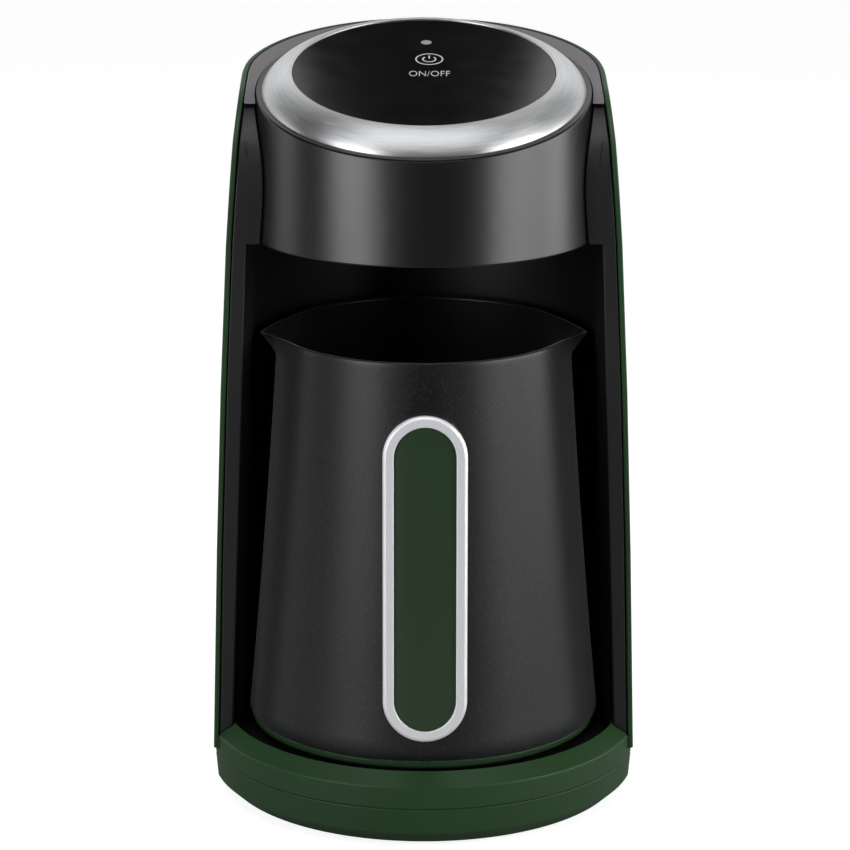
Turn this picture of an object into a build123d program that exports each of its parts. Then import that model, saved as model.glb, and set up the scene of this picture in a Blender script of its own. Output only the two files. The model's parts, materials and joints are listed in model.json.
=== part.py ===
from build123d import *

import os
from math import cos, radians, sin, sqrt, tan

os.makedirs("parts", exist_ok=True)

# An electric Turkish coffee maker. A round base carries a tall housing with an open bay in front.
# Over the bay hangs a round head with a tilted control panel, and in the bay stands a heated pot
# on a cordless connector. The pot lifts straight up off the connector, and the power key travels.
#
# Millimetres. +Z is up and -Y is the front, where the pot's handle points. The origin is on the
# table, under the middle of the whole machine. Heights above the lip that surrounds the pot deck
# are named ..._rise, and heights above the table ..._z.

# ------------------------------------------------------------------ base
foot_height = 0.8  # rubber feet below the base
foot_diameter = 14.0
foot_edge = 0.5  # chamfer round a foot
foot_recess = 1.4  # depth of a foot's seat in the base
foot_side_inset = 29.0  # side of the base to a foot's middle
foot_front_inset = 27.0
foot_rear_inset = 23.5
base_height = 22.5  # underside of the base to the lip
base_side_cut = 2.0  # straight sides of the base inside its front round
base_rear = 81.5  # rear of the base, behind the pot axis
base_corner = 45.0
base_wall = 2.2
base_taper = 5.0  # degrees, lower half of the base
base_edge = 4.2  # chamfer round the base's underside
seam_drop = 10.4  # lip to the seam between the base's halves
ridge_drop = 3.6  # lip to the outer ridge of the base
ridge_width = 5.5  # slope from the lip out to the ridge
lip_width = 4.9  # foot of the bay to the lip
deck_drop = 4.5  # lip to the deck that the pot stands on
deck_thickness = 2.0
deck_ledge = 9.5  # width of the ledge under the deck's edge
deck_gap = 0.2  # deck to the base, and to the connector
cushion_width = 6.0  # raised ring of the deck round the connector
cushion_height = 0.6
boss_diameter = 8.0
screw_diameter = 3.0
screw_head_diameter = 5.6
screw_head_height = 2.0
screw_head_depth = 3.0  # counterbore
screw_clearance = 0.2
base_screw_side_inset = 18.0
base_screw_front_inset = 36.0
base_screw_rear_inset = 21.5
wire_slot_length = 30.0  # passage from the base into the housing
wire_slot_width = 9.0

# ------------------------------------------------------------------ housing
shell_wall = 1.6
shell_foot_drop = 8.0  # lip to the lower edge of the housing
shell_step_gap = 0.3  # base to the inside of the housing's foot
front_set_back = 20.0  # front edge of the housing, forward of the pot axis
front_corner_round = 32.0  # side view, where the front edge turns into the deck
shell_overhang = 0.5  # housing's foot outside the base
side_band = 6.45  # head's groove to the housing's side, at the bay's roof
side_bow = 0.55  # swell of the housing's side between its foot and the bay's roof
side_draw_shoulder = 2.15  # the side draws in by this from the bay's roof to the shoulder
side_draw_crown = 4.2
side_draw_top = 6.95
rear_draw_low = 0.8  # the rear draws in by this from the foot to each station
rear_draw_middle = 2.6
rear_draw_roof = 6.4
rear_draw_shoulder = 12.0
rear_draw_crown = 18.6
rear_draw_top = 27.0
corner_low = 46.0
corner_middle = 47.0
corner_roof = 49.0
corner_shoulder = 51.0
corner_top = 50.5
station_low = 55.0  # rises of the stations that the housing is lofted through
station_middle = 105.0
station_shoulder = 180.0
station_crown = 199.0
station_top = 214.0

# ------------------------------------------------------------------ bay and front frame
frame_gap = 0.25  # frame to shell
frame_recess = 0.4  # frame behind the shell's front edge
frame_wall = 2.0
bay_clearance = 1.6  # the bay is a tapering U round the pot: foot of the pot to the bay
spout_clearance = 1.0
bay_roof_rise = 150.0
flare_depth = 9.0  # the bay's front edges flare out to the front face
flare_floor = 3.3
flare_roof = 2.0
frame_flange_rear = 8.0  # rear end of the frame's side flanges, behind the pot axis
groove_gap = 0.3  # head to the round recess in the frame that holds it

# ------------------------------------------------------------------ head and panel
panel_tilt = 14.5  # degrees, down to the front
panel_rise = 199.0  # middle of the ring's inner edge
deck_below_panel = 6.4  # housing deck below the ring's inner edge
cover_edge = 1.5  # thickness of the top cover at its edge
cover_skirt_depth = 6.0  # the cover's rim inside the shell
cover_skirt_wall = 1.6
head_overhang = 1.0  # head's lower edge outside the bay's roof
head_draw = 1.9  # the head narrows by this to its trim
head_wall = 2.2
ring_flat_width = 3.7
ring_roll_width = 5.5  # rounded outer part of the steel ring
ring_edge = 0.2  # fall of the ring's flat part
ring_drop = 6.0  # outer edge of the steel ring below its inner edge
ring_sheet = 0.8
ring_lip = 1.6  # inner edge of the ring, turned down
trim_reveal = 1.6  # trim outside the steel ring
trim_gap = 0.35  # trim to the top cover
trim_show = 0.4  # height of the trim seen under the ring
trim_shelf = 2.4  # width of the shelf that the panel lies on
trim_shelf_height = 1.6
trim_shoulder = 2.3  # ledge that carries the steel ring's outer edge
ring_gap = 0.1  # under the ring's inner lip
panel_recess = 0.5
panel_thickness = 3.0
panel_gap = 0.2
panel_dish = 1.1  # sag of the panel's hollow top
key_diameter = 8.8
key_offset = 1.6
key_up = 9.1  # up the slope from the panel's middle
key_travel = 0.5
key_gap = 0.15
key_stem = 4.0
key_flange = 1.2  # rim that keeps the key under the panel
key_flange_thickness = 0.8
switch_width = 6.0
switch_height = 4.0
switch_plunger = 3.5
switch_plunger_height = 0.8
switch_gap = 0.1  # plunger to the key's stem when pressed
lamp_diameter = 3.3
lamp_offset = 0.8
lamp_up = 21.8
lamp_flange = 0.8
led_diameter = 3.0
led_height = 3.4
led_edge = 0.7
board_drop = 7.5  # control board below the panel's underside
board_thickness = 1.6
board_inset = 8.1  # panel's edge to the control board's edge
board_post_inset = 5.0  # board's edge to the posts' axes
board_post_diameter = 6.0
board_screw_diameter = 2.0
board_screw_head = 4.4
board_screw_head_height = 1.6
buzzer_diameter = 12.0
buzzer_height = 5.0
buzzer_down = 12.0
roof_inset = 1.5  # underside plate above the head's lower edge
roof_thickness = 2.0
roof_gap = 0.1  # plate to head, and lens to plate
roof_ledge = 2.0  # ledge in the head that the plate seats under
sensor_diameter = 12.0
sensor_proud = 0.6
sensor_edge = 0.3
sensor_flange = 1.5
sensor_set_back = 8.0
head_window_width = 30.0  # passage for wires from the housing into the head
head_window_height = 12.0
head_window_rise = 9.0  # above the head's lower edge

# ------------------------------------------------------------------ cordless connector
plug_radius = 18.0
plug_flange = 5.0
plug_height = 9.0  # above the deck
plug_groove_inner = 8.0
plug_groove_outer = 10.6
plug_groove_depth = 7.0
plug_hole_radius = 3.2
plug_flange_thickness = 3.0
plug_chamfer = 3.0
sleeve_wall = 0.5  # brass sleeves that line the groove and the hole
sleeve_height = 5.0
contact_clearance = 0.35
socket_clearance = 1.0  # pot's recess round the connector
socket_thickness = 3.0
socket_gap = 0.3  # pot's underside to the raised ring
socket_margin = 1.4  # connector's plate beyond the recess
blade_gap = 1.0  # blade's end to the bottom of the groove
connector_post_radius = 16.0
connector_post_diameter = 3.2
thermostat_diameter = 14.0

# ------------------------------------------------------------------ pot
pot_height = 120.0
pot_base_radius = 54.0
pot_belly_radius = 47.7
pot_belly_rise = 72.0
pot_rim_radius = 44.4
pot_wall = 1.2
pot_floor_rise = 14.0
pot_floor_thickness = 1.5
spout_length = 5.6  # tip of a spout outside the rim
spout_angle = 20.0  # degrees each side of the spout's middle
spout_drop = 8.5
spout_tip_round = 1.6
spout_toe = 5.0  # half width of the spout where it leaves the body
spout_root = 8.0  # how far the spout's form reaches into the body
pot_ring_inset = 0.5
pot_ring_height = 2.3
pot_skirt_gap = 0.2
pot_skirt_height = 6.0
pot_ring_edge = 0.6
cover_wall = 1.6
cover_floor = 2.4
cover_chamfer = 1.0
heater_inset = 14.0  # pot's foot to the heater plate's edge
heater_plate = 2.0
element_inset = 12.0  # heater plate's edge to the middle of the element
element_width = 6.0  # the element is a tube pressed to a trapezium under its plate
element_narrow = 3.6
element_height = 4.4
element_arc = 310.0  # degrees

# ------------------------------------------------------------------ handle
grip_reach = 88.0  # front of the grip's middle, forward of the pot axis
grip_lean = 4.0  # degrees, top leaning to the pot
grip_middle_rise = 67.3
grip_length = 94.8
grip_width = 24.1
grip_depth = 11.5
grip_frame_band = 3.2
grip_frame_height = 3.0
grip_frame_bevel = 0.7
grip_shadow = 0.3  # grip body inside the frame's outline
inlay_gap = 0.15
inlay_crown = 0.9
arm_width = 16.0
arm_upper_rise = 94.0
arm_lower_rise = 34.0
arm_outside = 4.0  # arm's plastic outside the strap's middle line
arm_inside = 6.0
arm_overrun = 1.0  # cut of the finger opening past the arms' ends, inside the pot
pad_gap = 0.1  # handle to pot wall
grip_round = 3.0
finger_round = 9.0  # corners of the finger opening
strap_thickness = 1.5
strap_width = 10.0
strap_bend = 5.0
strap_gap = 0.1
strap_depth = 7.6  # middle of the strap behind the grip's front
handle_screw_diameter = 3.5
handle_screw_head = 6.5
handle_screw_head_height = 2.2
handle_screw_margin = 1.2  # plastic left behind the screw's hole
handle_screw_clearance = 0.1
handle_screw_spread = 16.0

# ------------------------------------------------------------------ power supply side
power_board_width = 44.0
power_board_height = 92.0
power_board_rise = 40.0  # lower edge of the board
power_board_gap = 2.9  # bay wall to the front of the board
power_board_thickness = 1.6
power_post_diameter = 7.0
power_post_inset = 4.0  # from the board's edges
power_screw_length = 5.0  # in the post
terminal_size = (15.0, 10.0, 8.0)  # width, depth and height
terminal_corner = 0.8
terminal_rise = 45.0  # middle of the terminal block
transformer_size = (22.0, 14.0, 20.0)
transformer_corner = 1.5
transformer_gap = 3.0  # terminal block to the transformer above it
relay_size = (19.0, 12.0, 15.0)
relay_corner = 1.0
relay_gap = 12.5  # transformer to the relay above it
inlet_diameter = 11.0  # bush in the rear shell that a mains cord would enter by
inlet_bore = 6.6
inlet_length = 7.0
inlet_flange = 1.5
inlet_rise = 6.0
frame_screw_angle = 44.0  # degrees from straight back, seen from above
frame_rib = 3.0
frame_screw_length = 16.0

# ------------------------------------------------------------------ worked-out sizes and planes
# The base grows outwards from the pot's foot, and the head from the pot's spouts.
bay_floor_radius = pot_base_radius + bay_clearance
lip_radius = bay_floor_radius + lip_width
base_radius = lip_radius + ridge_width
base_half_width = base_radius - base_side_cut
foot_spread = base_half_width - foot_side_inset
foot_front = base_radius - foot_front_inset
foot_rear = base_rear - foot_rear_inset
base_screw_spread = base_half_width - base_screw_side_inset
base_screw_front = base_radius - base_screw_front_inset
base_screw_rear = base_rear - base_screw_rear_inset
half_width_foot = base_half_width + shell_overhang
rear_foot = base_rear + shell_overhang

spout_reach = pot_rim_radius + spout_length
bay_roof_radius = spout_reach + spout_clearance
head_radius_low = bay_roof_radius + head_overhang
groove_radius = head_radius_low + groove_gap
half_width_roof = groove_radius + side_band
trim_radius = head_radius_low - head_draw
ring_outer_radius = trim_radius - trim_reveal
ring_flat_radius = ring_outer_radius - ring_roll_width
ring_inner_radius = ring_flat_radius - ring_flat_width
panel_radius = ring_inner_radius - panel_gap
board_radius = panel_radius - board_inset
board_post_radius = board_radius - board_post_inset

power_board_y = bay_floor_radius + frame_wall + power_board_gap
transformer_foot = terminal_rise + terminal_size[2] / 2 + transformer_gap
transformer_rise = transformer_foot + transformer_size[2] / 2
relay_foot = transformer_foot + transformer_size[2] + relay_gap
relay_rise = relay_foot + relay_size[2] / 2
handle_front = grip_reach + grip_length / 2 * sin(radians(grip_lean))
axis_y = (handle_front - rear_foot) / 2
lip_z = foot_height + base_height
seam_z = lip_z - seam_drop
ridge_z = lip_z - ridge_drop
deck_z = lip_z - deck_drop
shell_foot_z = lip_z - shell_foot_drop
roof_z = lip_z + bay_roof_rise
panel_z = lip_z + panel_rise
tilt = radians(panel_tilt)
far = 300.0  # larger than the whole machine

pot_axis = Axis((0, axis_y, 0), (0, 0, 1))
turning = Plane(origin=(0, axis_y, 0), x_dir=(1, 0, 0), z_dir=(0, -1, 0))
side_view = Plane(origin=(0, axis_y, 0), x_dir=(0, 1, 0), z_dir=(1, 0, 0))
panel_plane = Plane(origin=(0, axis_y, panel_z), x_dir=(1, 0, 0), z_dir=(0, -sin(tilt), cos(tilt)))
panel_turning = Plane(
    origin=panel_plane.origin, x_dir=(1, 0, 0), z_dir=(0, -cos(tilt), -sin(tilt))
)
panel_axis = Axis(panel_plane.origin, panel_plane.z_dir)


def level(z):
    """The horizontal plane at height z, with its origin on the pot axis."""
    return Plane(origin=(0, axis_y, z))


def upright(y, rise):
    """The upright plane at y behind the pot axis, looking back, with its origin at a rise."""
    return Plane(origin=(0, axis_y + y, lip_z + rise), x_dir=(-1, 0, 0), z_dir=(0, 1, 0))


def slope_z(y, below_panel):
    """Height, at y behind the pot axis, of the tilted plane that lies below the panel plane."""
    return panel_z - below_panel / cos(tilt) + y * tan(tilt)


def finish(part, name):
    """Labels a finished piece and writes it under its own name."""
    part.label = name
    export_step(part, f"parts/{name}.step")


# ------------------------------------------------------------------ forms that several pieces share
def base_plan(inset):
    """The base's outline: round in front, straight at the sides, large corners at the rear."""
    with BuildSketch() as plan:
        Circle(base_radius - inset)
        with Locations((0, -base_radius)):
            Rectangle(2 * far, 2 * base_radius, mode=Mode.INTERSECT)
        depth = base_rear - inset
        with BuildSketch(mode=Mode.PRIVATE) as rear:
            with Locations((0, depth / 2)):
                Rectangle(2 * (base_half_width - inset), depth)
            fillet(rear.vertices().group_by(Axis.Y)[-1], base_corner - inset)
        add(rear.sketch)
        Rectangle(2 * (base_half_width - inset), 4 * far, mode=Mode.INTERSECT)
    return plan.sketch


def bowed_half_width(rise):
    """Half width of the housing between its foot and the bay's roof: a straight taper, bowed."""
    share = (rise + shell_foot_drop) / (bay_roof_rise + shell_foot_drop)
    return half_width_foot + share * (half_width_roof - half_width_foot) + side_bow


def housing_block(inset):
    """The housing's outer form from its foot to above its deck, drawn in by inset all round."""
    stations = (
        (-shell_foot_drop, half_width_foot, 0, corner_low),
        (station_low, bowed_half_width(station_low), rear_draw_low, corner_low),
        (station_middle, bowed_half_width(station_middle), rear_draw_middle, corner_middle),
        (bay_roof_rise, half_width_roof, rear_draw_roof, corner_roof),
        (station_shoulder, half_width_roof - side_draw_shoulder, rear_draw_shoulder, corner_shoulder),
        (station_crown, half_width_roof - side_draw_crown, rear_draw_crown, corner_shoulder),
        (station_top, half_width_roof - side_draw_top, rear_draw_top, corner_top),
    )
    front = front_set_back + 2 * front_corner_round
    with BuildPart() as block:
        for rise, half_width, rear_draw, corner in stations:
            rear = rear_foot - rear_draw - inset
            with BuildSketch(level(lip_z + rise)) as station:
                with Locations((0, (rear - front) / 2)):
                    Rectangle(2 * (half_width - inset), rear + front)
                fillet(station.vertices().group_by(Axis.Y)[-1], corner - inset)
        loft(ruled=True)
    return block.part


def housing_profile(front, below_panel, low_z):
    """The housing seen from the side, as a slab right across: front edge, round, tilted deck."""
    rear = far / 2
    with BuildPart() as slab:
        with BuildSketch(side_view) as outline:
            with BuildLine():
                Polyline(
                    (-front, low_z),
                    (-front, slope_z(-front, below_panel)),
                    (rear, slope_z(rear, below_panel)),
                    (rear, low_z),
                    close=True,
                )
            make_face()
            front_top = outline.vertices().group_by(Axis.X)[0].sort_by(Axis.Y)[-1]
            fillet(front_top, front_corner_round)
        extrude(amount=far / 2, both=True)
    return slab.part


def bay_form(inset, low_z, high_z):
    """The pot bay as a solid: a tapering U that is open to the front."""
    with BuildPart() as bay:
        for z in (low_z, high_z):
            share = (z - deck_z) / (roof_z - deck_z)
            radius = bay_floor_radius + share * (bay_roof_radius - bay_floor_radius) + inset
            with BuildSketch(level(z)):
                Circle(radius)
                with Locations((0, -far / 4)):
                    Rectangle(2 * radius, far / 2)
        loft(ruled=True)
    return bay.part


trim_below_panel = ring_drop + trim_show


def head_form(inset, low_z):
    """The head as a solid, from the level of its lower edge to the tilted circle of its trim."""
    with BuildPart() as form:
        with BuildSketch(level(low_z)):
            Circle(head_radius_low - inset)
        with BuildSketch(panel_plane.offset(-trim_below_panel)):
            Circle(trim_radius - inset)
        loft(ruled=True)
    return form.part


def drum(radius, low_z, high_z):
    """A plain cylinder round the pot axis."""
    with BuildPart() as cylinder:
        with BuildSketch(level(low_z)):
            Circle(radius)
        extrude(amount=high_z - low_z)
    return cylinder.part


def slab_behind(y, low_z, high_z):
    """All that lies more than y behind the pot axis, between two heights."""
    with BuildPart() as slab:
        with BuildSketch(level(low_z)):
            with Locations((0, y + far / 2)):
                Rectangle(far, far)
        extrude(amount=high_z - low_z)
    return slab.part


base_top_points = (
    (0, 0),
    (far, 0),
    (far, ridge_z),
    (base_radius, ridge_z),
    (lip_radius, lip_z),
    (0, lip_z),
)
with BuildPart() as base_top_form:
    with BuildSketch(turning):
        with BuildLine():
            Polyline(*base_top_points, close=True)
        make_face()
    revolve(axis=pot_axis)

foot_places = [(x, y) for x in (-foot_spread, foot_spread) for y in (-foot_front, foot_rear)]
base_screw_places = [
    (x, y)
    for x in (-base_screw_spread, base_screw_spread)
    for y in (-base_screw_front, base_screw_rear)
]
frame_boss_radius = lip_radius + boss_diameter / 2
frame_screw_places = PolarLocations(
    frame_boss_radius, 2, 90 - frame_screw_angle, 2 * frame_screw_angle, endpoint=True
)

# ------------------------------------------------------------------ lower half of the base


def tub(inset):
    """The lower half of the base as a solid, drawn in by inset."""
    with BuildPart() as form:
        with BuildSketch(level(seam_z)):
            add(base_plan(inset))
        extrude(amount=-(seam_z - foot_height - inset), taper=base_taper)
        chamfer(form.faces().sort_by(Axis.Z)[0].edges(), base_edge - inset / 2)
    return form.part


boss_depth = seam_z - foot_height - base_wall / 2
with BuildPart() as base_lower:
    add(tub(0))
    add(tub(base_wall), mode=Mode.SUBTRACT)
    with BuildSketch(level(seam_z)):
        with Locations(base_screw_places):
            Circle(boss_diameter / 2)
    extrude(amount=-boss_depth)
    with BuildSketch(level(foot_height + foot_recess)):
        with Locations(foot_places):
            Circle(foot_diameter / 2 + base_wall)
    extrude(amount=base_wall)
    with BuildSketch(level(foot_height)):
        with Locations(foot_places):
            Circle(foot_diameter / 2)
    extrude(amount=foot_recess, mode=Mode.SUBTRACT)
    with BuildSketch(level(foot_height)):
        with Locations(base_screw_places):
            Circle(screw_diameter / 2 + screw_clearance)
    extrude(amount=seam_z, mode=Mode.SUBTRACT)
    with BuildSketch(level(foot_height)):
        with Locations(base_screw_places):
            Circle(screw_head_diameter / 2 + screw_clearance)
    extrude(amount=screw_head_depth, mode=Mode.SUBTRACT)
finish(base_lower.part, "base_lower")

with BuildPart() as rubber_feet:
    with BuildSketch(level(0)):
        with Locations(foot_places):
            Circle(foot_diameter / 2)
    extrude(amount=foot_height + foot_recess)
    chamfer(rubber_feet.edges().group_by(Axis.Z)[0], foot_edge)
finish(rubber_feet.part, "rubber_feet")

# ------------------------------------------------------------------ upper half of the base
with BuildPart() as shell_step:
    add(slab_behind(-front_set_back - shell_step_gap, shell_foot_z, far))
    add(housing_block(shell_wall + shell_step_gap), mode=Mode.SUBTRACT)

deck_underside_z = deck_z - deck_thickness
ledge_radius = lip_radius - deck_ledge
with BuildPart() as base_upper:
    with BuildSketch(level(seam_z)):
        add(base_plan(0))
    extrude(amount=base_height)
    add(base_top_form.part, mode=Mode.INTERSECT)
    add(drum(lip_radius, deck_underside_z, far), mode=Mode.SUBTRACT)
    add(drum(ledge_radius, 0, lip_z), mode=Mode.SUBTRACT)
    with BuildSketch(level(seam_z)):
        add(base_plan(base_wall))
    extrude(amount=deck_underside_z - base_wall - seam_z, mode=Mode.SUBTRACT)
    with BuildSketch(level(seam_z)):
        with Locations(base_screw_places):
            Circle(boss_diameter / 2)
    extrude(amount=deck_underside_z - base_wall - seam_z)
    with BuildSketch(level(seam_z)):
        with Locations(base_screw_places):
            Circle(screw_diameter / 2)
    extrude(amount=deck_underside_z - base_wall / 2 - seam_z, mode=Mode.SUBTRACT)
    with BuildSketch(level(seam_z)):
        with Locations((0, base_screw_rear + wire_slot_width)):
            SlotOverall(wire_slot_length, wire_slot_width)
    extrude(amount=base_height, mode=Mode.SUBTRACT)
    add(shell_step.part, mode=Mode.SUBTRACT)
    with BuildSketch(level(seam_z)):
        with frame_screw_places:
            Circle(screw_diameter / 2 + screw_clearance)
    extrude(amount=base_height, mode=Mode.SUBTRACT)
finish(base_upper.part, "base_upper")

with BuildPart() as base_screws:
    with BuildSketch(level(foot_height + screw_head_depth)):
        with Locations(base_screw_places):
            Circle(screw_head_diameter / 2)
    extrude(amount=-screw_head_height)
    with BuildSketch(level(foot_height + screw_head_depth)):
        with Locations(base_screw_places):
            Circle(screw_diameter / 2)
    extrude(amount=seam_z - foot_height - screw_head_depth + base_wall)
finish(base_screws.part, "base_screws")

cushion_radius = plug_radius + cushion_width
cushion_top_z = deck_z + cushion_height
with BuildPart() as pot_deck:
    add(drum(lip_radius - deck_gap, deck_underside_z, deck_z))
    add(drum(cushion_radius, deck_z, cushion_top_z))
    add(drum(plug_radius + deck_gap, 0, lip_z), mode=Mode.SUBTRACT)
finish(pot_deck.part, "pot_deck")

# ------------------------------------------------------------------ cordless connector in the base
plug_top_z = deck_z + plug_height
with BuildPart() as contact_sleeves:
    with BuildSketch(level(plug_top_z - plug_groove_depth)):
        for radius in (plug_groove_outer, plug_hole_radius):
            Circle(radius + sleeve_wall)
            Circle(radius, mode=Mode.SUBTRACT)
    extrude(amount=sleeve_height)

with BuildPart() as base_connector:
    with BuildSketch(turning):
        with BuildLine():
            Polyline(
                (0, deck_underside_z - plug_flange_thickness),
                (plug_radius + plug_flange, deck_underside_z - plug_flange_thickness),
                (plug_radius + plug_flange, deck_underside_z),
                (plug_radius, deck_underside_z),
                (plug_radius, plug_top_z - plug_chamfer),
                (plug_radius - plug_chamfer, plug_top_z),
                (0, plug_top_z),
                close=True,
            )
        make_face()
    revolve(axis=pot_axis)
    with BuildSketch(level(plug_top_z)):
        Circle(plug_groove_outer)
        Circle(plug_groove_inner, mode=Mode.SUBTRACT)
        Circle(plug_hole_radius)
    extrude(amount=-plug_groove_depth, mode=Mode.SUBTRACT)
    add(contact_sleeves.part, mode=Mode.SUBTRACT)
finish(base_connector.part, "base_connector")
finish(contact_sleeves.part, "contact_sleeves")

# ------------------------------------------------------------------ housing shell
with BuildPart() as rear_shell:
    add(housing_block(0))
    add(housing_profile(front_set_back, deck_below_panel, 0), mode=Mode.INTERSECT)
    add(housing_block(shell_wall), mode=Mode.SUBTRACT)
    with BuildSketch(upright(0, inlet_rise)):
        Circle(inlet_diameter / 2)
    extrude(amount=far, mode=Mode.SUBTRACT)
finish(rear_shell.part, "rear_shell")

with BuildPart() as inlet_bush:
    with BuildSketch(upright(rear_foot - inlet_length, inlet_rise)):
        Circle(inlet_diameter / 2)
    extrude(amount=inlet_length)
    with BuildSketch(upright(rear_foot - inlet_length, inlet_rise)):
        Circle(inlet_diameter / 2 + inlet_flange)
    extrude(amount=inlet_length - inlet_flange - shell_wall)
    with BuildSketch(upright(rear_foot - inlet_length, inlet_rise)):
        Circle(inlet_bore / 2)
    extrude(amount=inlet_length, mode=Mode.SUBTRACT)
finish(inlet_bush.part, "inlet_bush")

# ------------------------------------------------------------------ front frame with the pot bay
cover_below_panel = deck_below_panel + cover_edge
power_board_middle = power_board_rise + power_board_height / 2
power_post_places = GridLocations(
    power_board_width - 2 * power_post_inset, power_board_height - 2 * power_post_inset, 2, 2
)
frame_inset = shell_wall + frame_gap
with BuildPart() as frame_hollow:
    add(housing_block(frame_inset + frame_wall))
    add(slab_behind(-front_set_back + frame_recess + frame_wall, 0, far), mode=Mode.INTERSECT)
    add(drum(groove_radius + frame_wall, roof_z, far), mode=Mode.SUBTRACT)
    add(slab_behind(frame_flange_rear, 0, far))
    add(bay_form(frame_wall, 0, roof_z), mode=Mode.SUBTRACT)
with BuildPart() as base_seat:
    add(base_top_form.part)
    add(drum(lip_radius - deck_gap, deck_z, far), mode=Mode.SUBTRACT)
with BuildPart() as bay_flare:
    for z, half_width, flare in (
        (deck_underside_z, bay_floor_radius, flare_floor),
        (roof_z, bay_roof_radius, flare_roof),
    ):
        with BuildSketch(level(z)):
            with BuildLine():
                Polyline(
                    (-half_width - flare, -front_set_back),
                    (-half_width, -front_set_back + flare_depth),
                    (half_width, -front_set_back + flare_depth),
                    (half_width + flare, -front_set_back),
                    close=True,
                )
            make_face()
    loft(ruled=True)

with BuildPart() as bay_frame:
    add(housing_block(frame_inset))
    add(
        housing_profile(front_set_back - frame_recess, cover_below_panel, 0),
        mode=Mode.INTERSECT,
    )
    add(frame_hollow.part, mode=Mode.SUBTRACT)
    with BuildSketch(upright(0, power_board_middle)):
        with power_post_places:
            Circle(power_post_diameter / 2)
    extrude(amount=power_board_y)
    with BuildSketch(level(0)):
        with frame_screw_places:
            Circle(boss_diameter / 2)
            Rectangle(boss_diameter, frame_rib, align=(Align.MAX, Align.CENTER))
    extrude(amount=lip_z + frame_screw_length)
    add(bay_form(0, 0, roof_z), mode=Mode.SUBTRACT)
    add(bay_flare.part, mode=Mode.SUBTRACT)
    add(head_form(-groove_gap, roof_z), mode=Mode.SUBTRACT)
    add(base_seat.part, mode=Mode.SUBTRACT)
    with BuildSketch(upright(power_board_y - power_screw_length, power_board_middle)):
        with power_post_places:
            Circle(screw_diameter / 2)
    extrude(amount=power_screw_length, mode=Mode.SUBTRACT)
    with BuildSketch(level(0)):
        with frame_screw_places:
            Circle(screw_diameter / 2)
    extrude(amount=deck_underside_z - base_wall + frame_screw_length, mode=Mode.SUBTRACT)
finish(bay_frame.part, "bay_frame")

with BuildPart() as frame_screws:
    with BuildSketch(level(deck_underside_z - base_wall)):
        with frame_screw_places:
            Circle(screw_diameter / 2)
    extrude(amount=frame_screw_length)
    with BuildSketch(level(deck_underside_z - base_wall)):
        with frame_screw_places:
            Circle(screw_head_diameter / 2)
    extrude(amount=-screw_head_height)
finish(frame_screws.part, "frame_screws")

# ------------------------------------------------------------------ power supply behind the bay
with BuildPart() as power_board:
    with BuildSketch(upright(power_board_y, power_board_middle)):
        Rectangle(power_board_width, power_board_height)
        with power_post_places:
            Circle(screw_diameter / 2, mode=Mode.SUBTRACT)
    extrude(amount=power_board_thickness)
finish(power_board.part, "power_board")

power_board_rear = power_board_y + power_board_thickness
with BuildPart() as power_screws:
    with BuildSketch(upright(power_board_rear, power_board_middle)):
        with power_post_places:
            Circle(screw_head_diameter / 2)
    extrude(amount=screw_head_height)
    with BuildSketch(upright(power_board_y - power_screw_length, power_board_middle)):
        with power_post_places:
            Circle(screw_diameter / 2)
    extrude(amount=power_screw_length + power_board_thickness)
finish(power_screws.part, "power_screws")


def board_block(size, rise, corner):
    """A component on the rear of the power board: width, depth and height, middle at a rise."""
    width, depth, height = size
    with BuildPart() as block:
        with BuildSketch(upright(power_board_rear, rise)):
            RectangleRounded(width, height, corner)
        extrude(amount=depth)
        chamfer(block.faces().sort_by(Axis.Y)[-1].edges(), corner / 2)
    return block.part


finish(board_block(transformer_size, transformer_rise, transformer_corner), "transformer")
finish(board_block(relay_size, relay_rise, relay_corner), "relay")
finish(board_block(terminal_size, terminal_rise, terminal_corner), "terminal_block")

# ------------------------------------------------------------------ top cover
with BuildPart() as cover_skirt:
    add(housing_block(frame_inset))
    add(housing_block(frame_inset + cover_skirt_wall), mode=Mode.SUBTRACT)
    add(slab_behind(frame_flange_rear + frame_gap, 0, far), mode=Mode.INTERSECT)
    with BuildSketch(panel_plane.offset(-cover_below_panel)):
        Rectangle(far, far)
    extrude(amount=-cover_skirt_depth, mode=Mode.INTERSECT)
with BuildPart() as top_cover:
    add(housing_block(frame_inset))
    add(
        housing_profile(front_set_back - frame_recess, deck_below_panel, 0),
        mode=Mode.INTERSECT,
    )
    split(bisect_by=panel_plane.offset(-cover_below_panel), keep=Keep.TOP)
    add(cover_skirt.part)
    with BuildSketch(panel_plane):
        Circle(trim_radius + trim_gap)
    extrude(amount=-far, both=True, mode=Mode.SUBTRACT)
finish(top_cover.part, "top_cover")

# ------------------------------------------------------------------ head
roof_plate_z = roof_z + roof_inset
roof_ledge_z = roof_plate_z + roof_thickness
ledge_inner_radius = head_radius_low - head_wall - roof_ledge
with BuildPart() as head_shell:
    add(head_form(0, roof_z))
    add(head_form(head_wall, roof_z), mode=Mode.SUBTRACT)
    add(drum(head_radius_low - head_wall, roof_ledge_z, roof_ledge_z + roof_ledge))
    add(drum(ledge_inner_radius, roof_ledge_z, roof_ledge_z + roof_ledge), mode=Mode.SUBTRACT)
    with BuildSketch(upright(0, bay_roof_rise + head_window_rise + head_window_height / 2)):
        Rectangle(head_window_width, head_window_height)
    extrude(amount=far, mode=Mode.SUBTRACT)
finish(head_shell.part, "head_shell")

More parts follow.
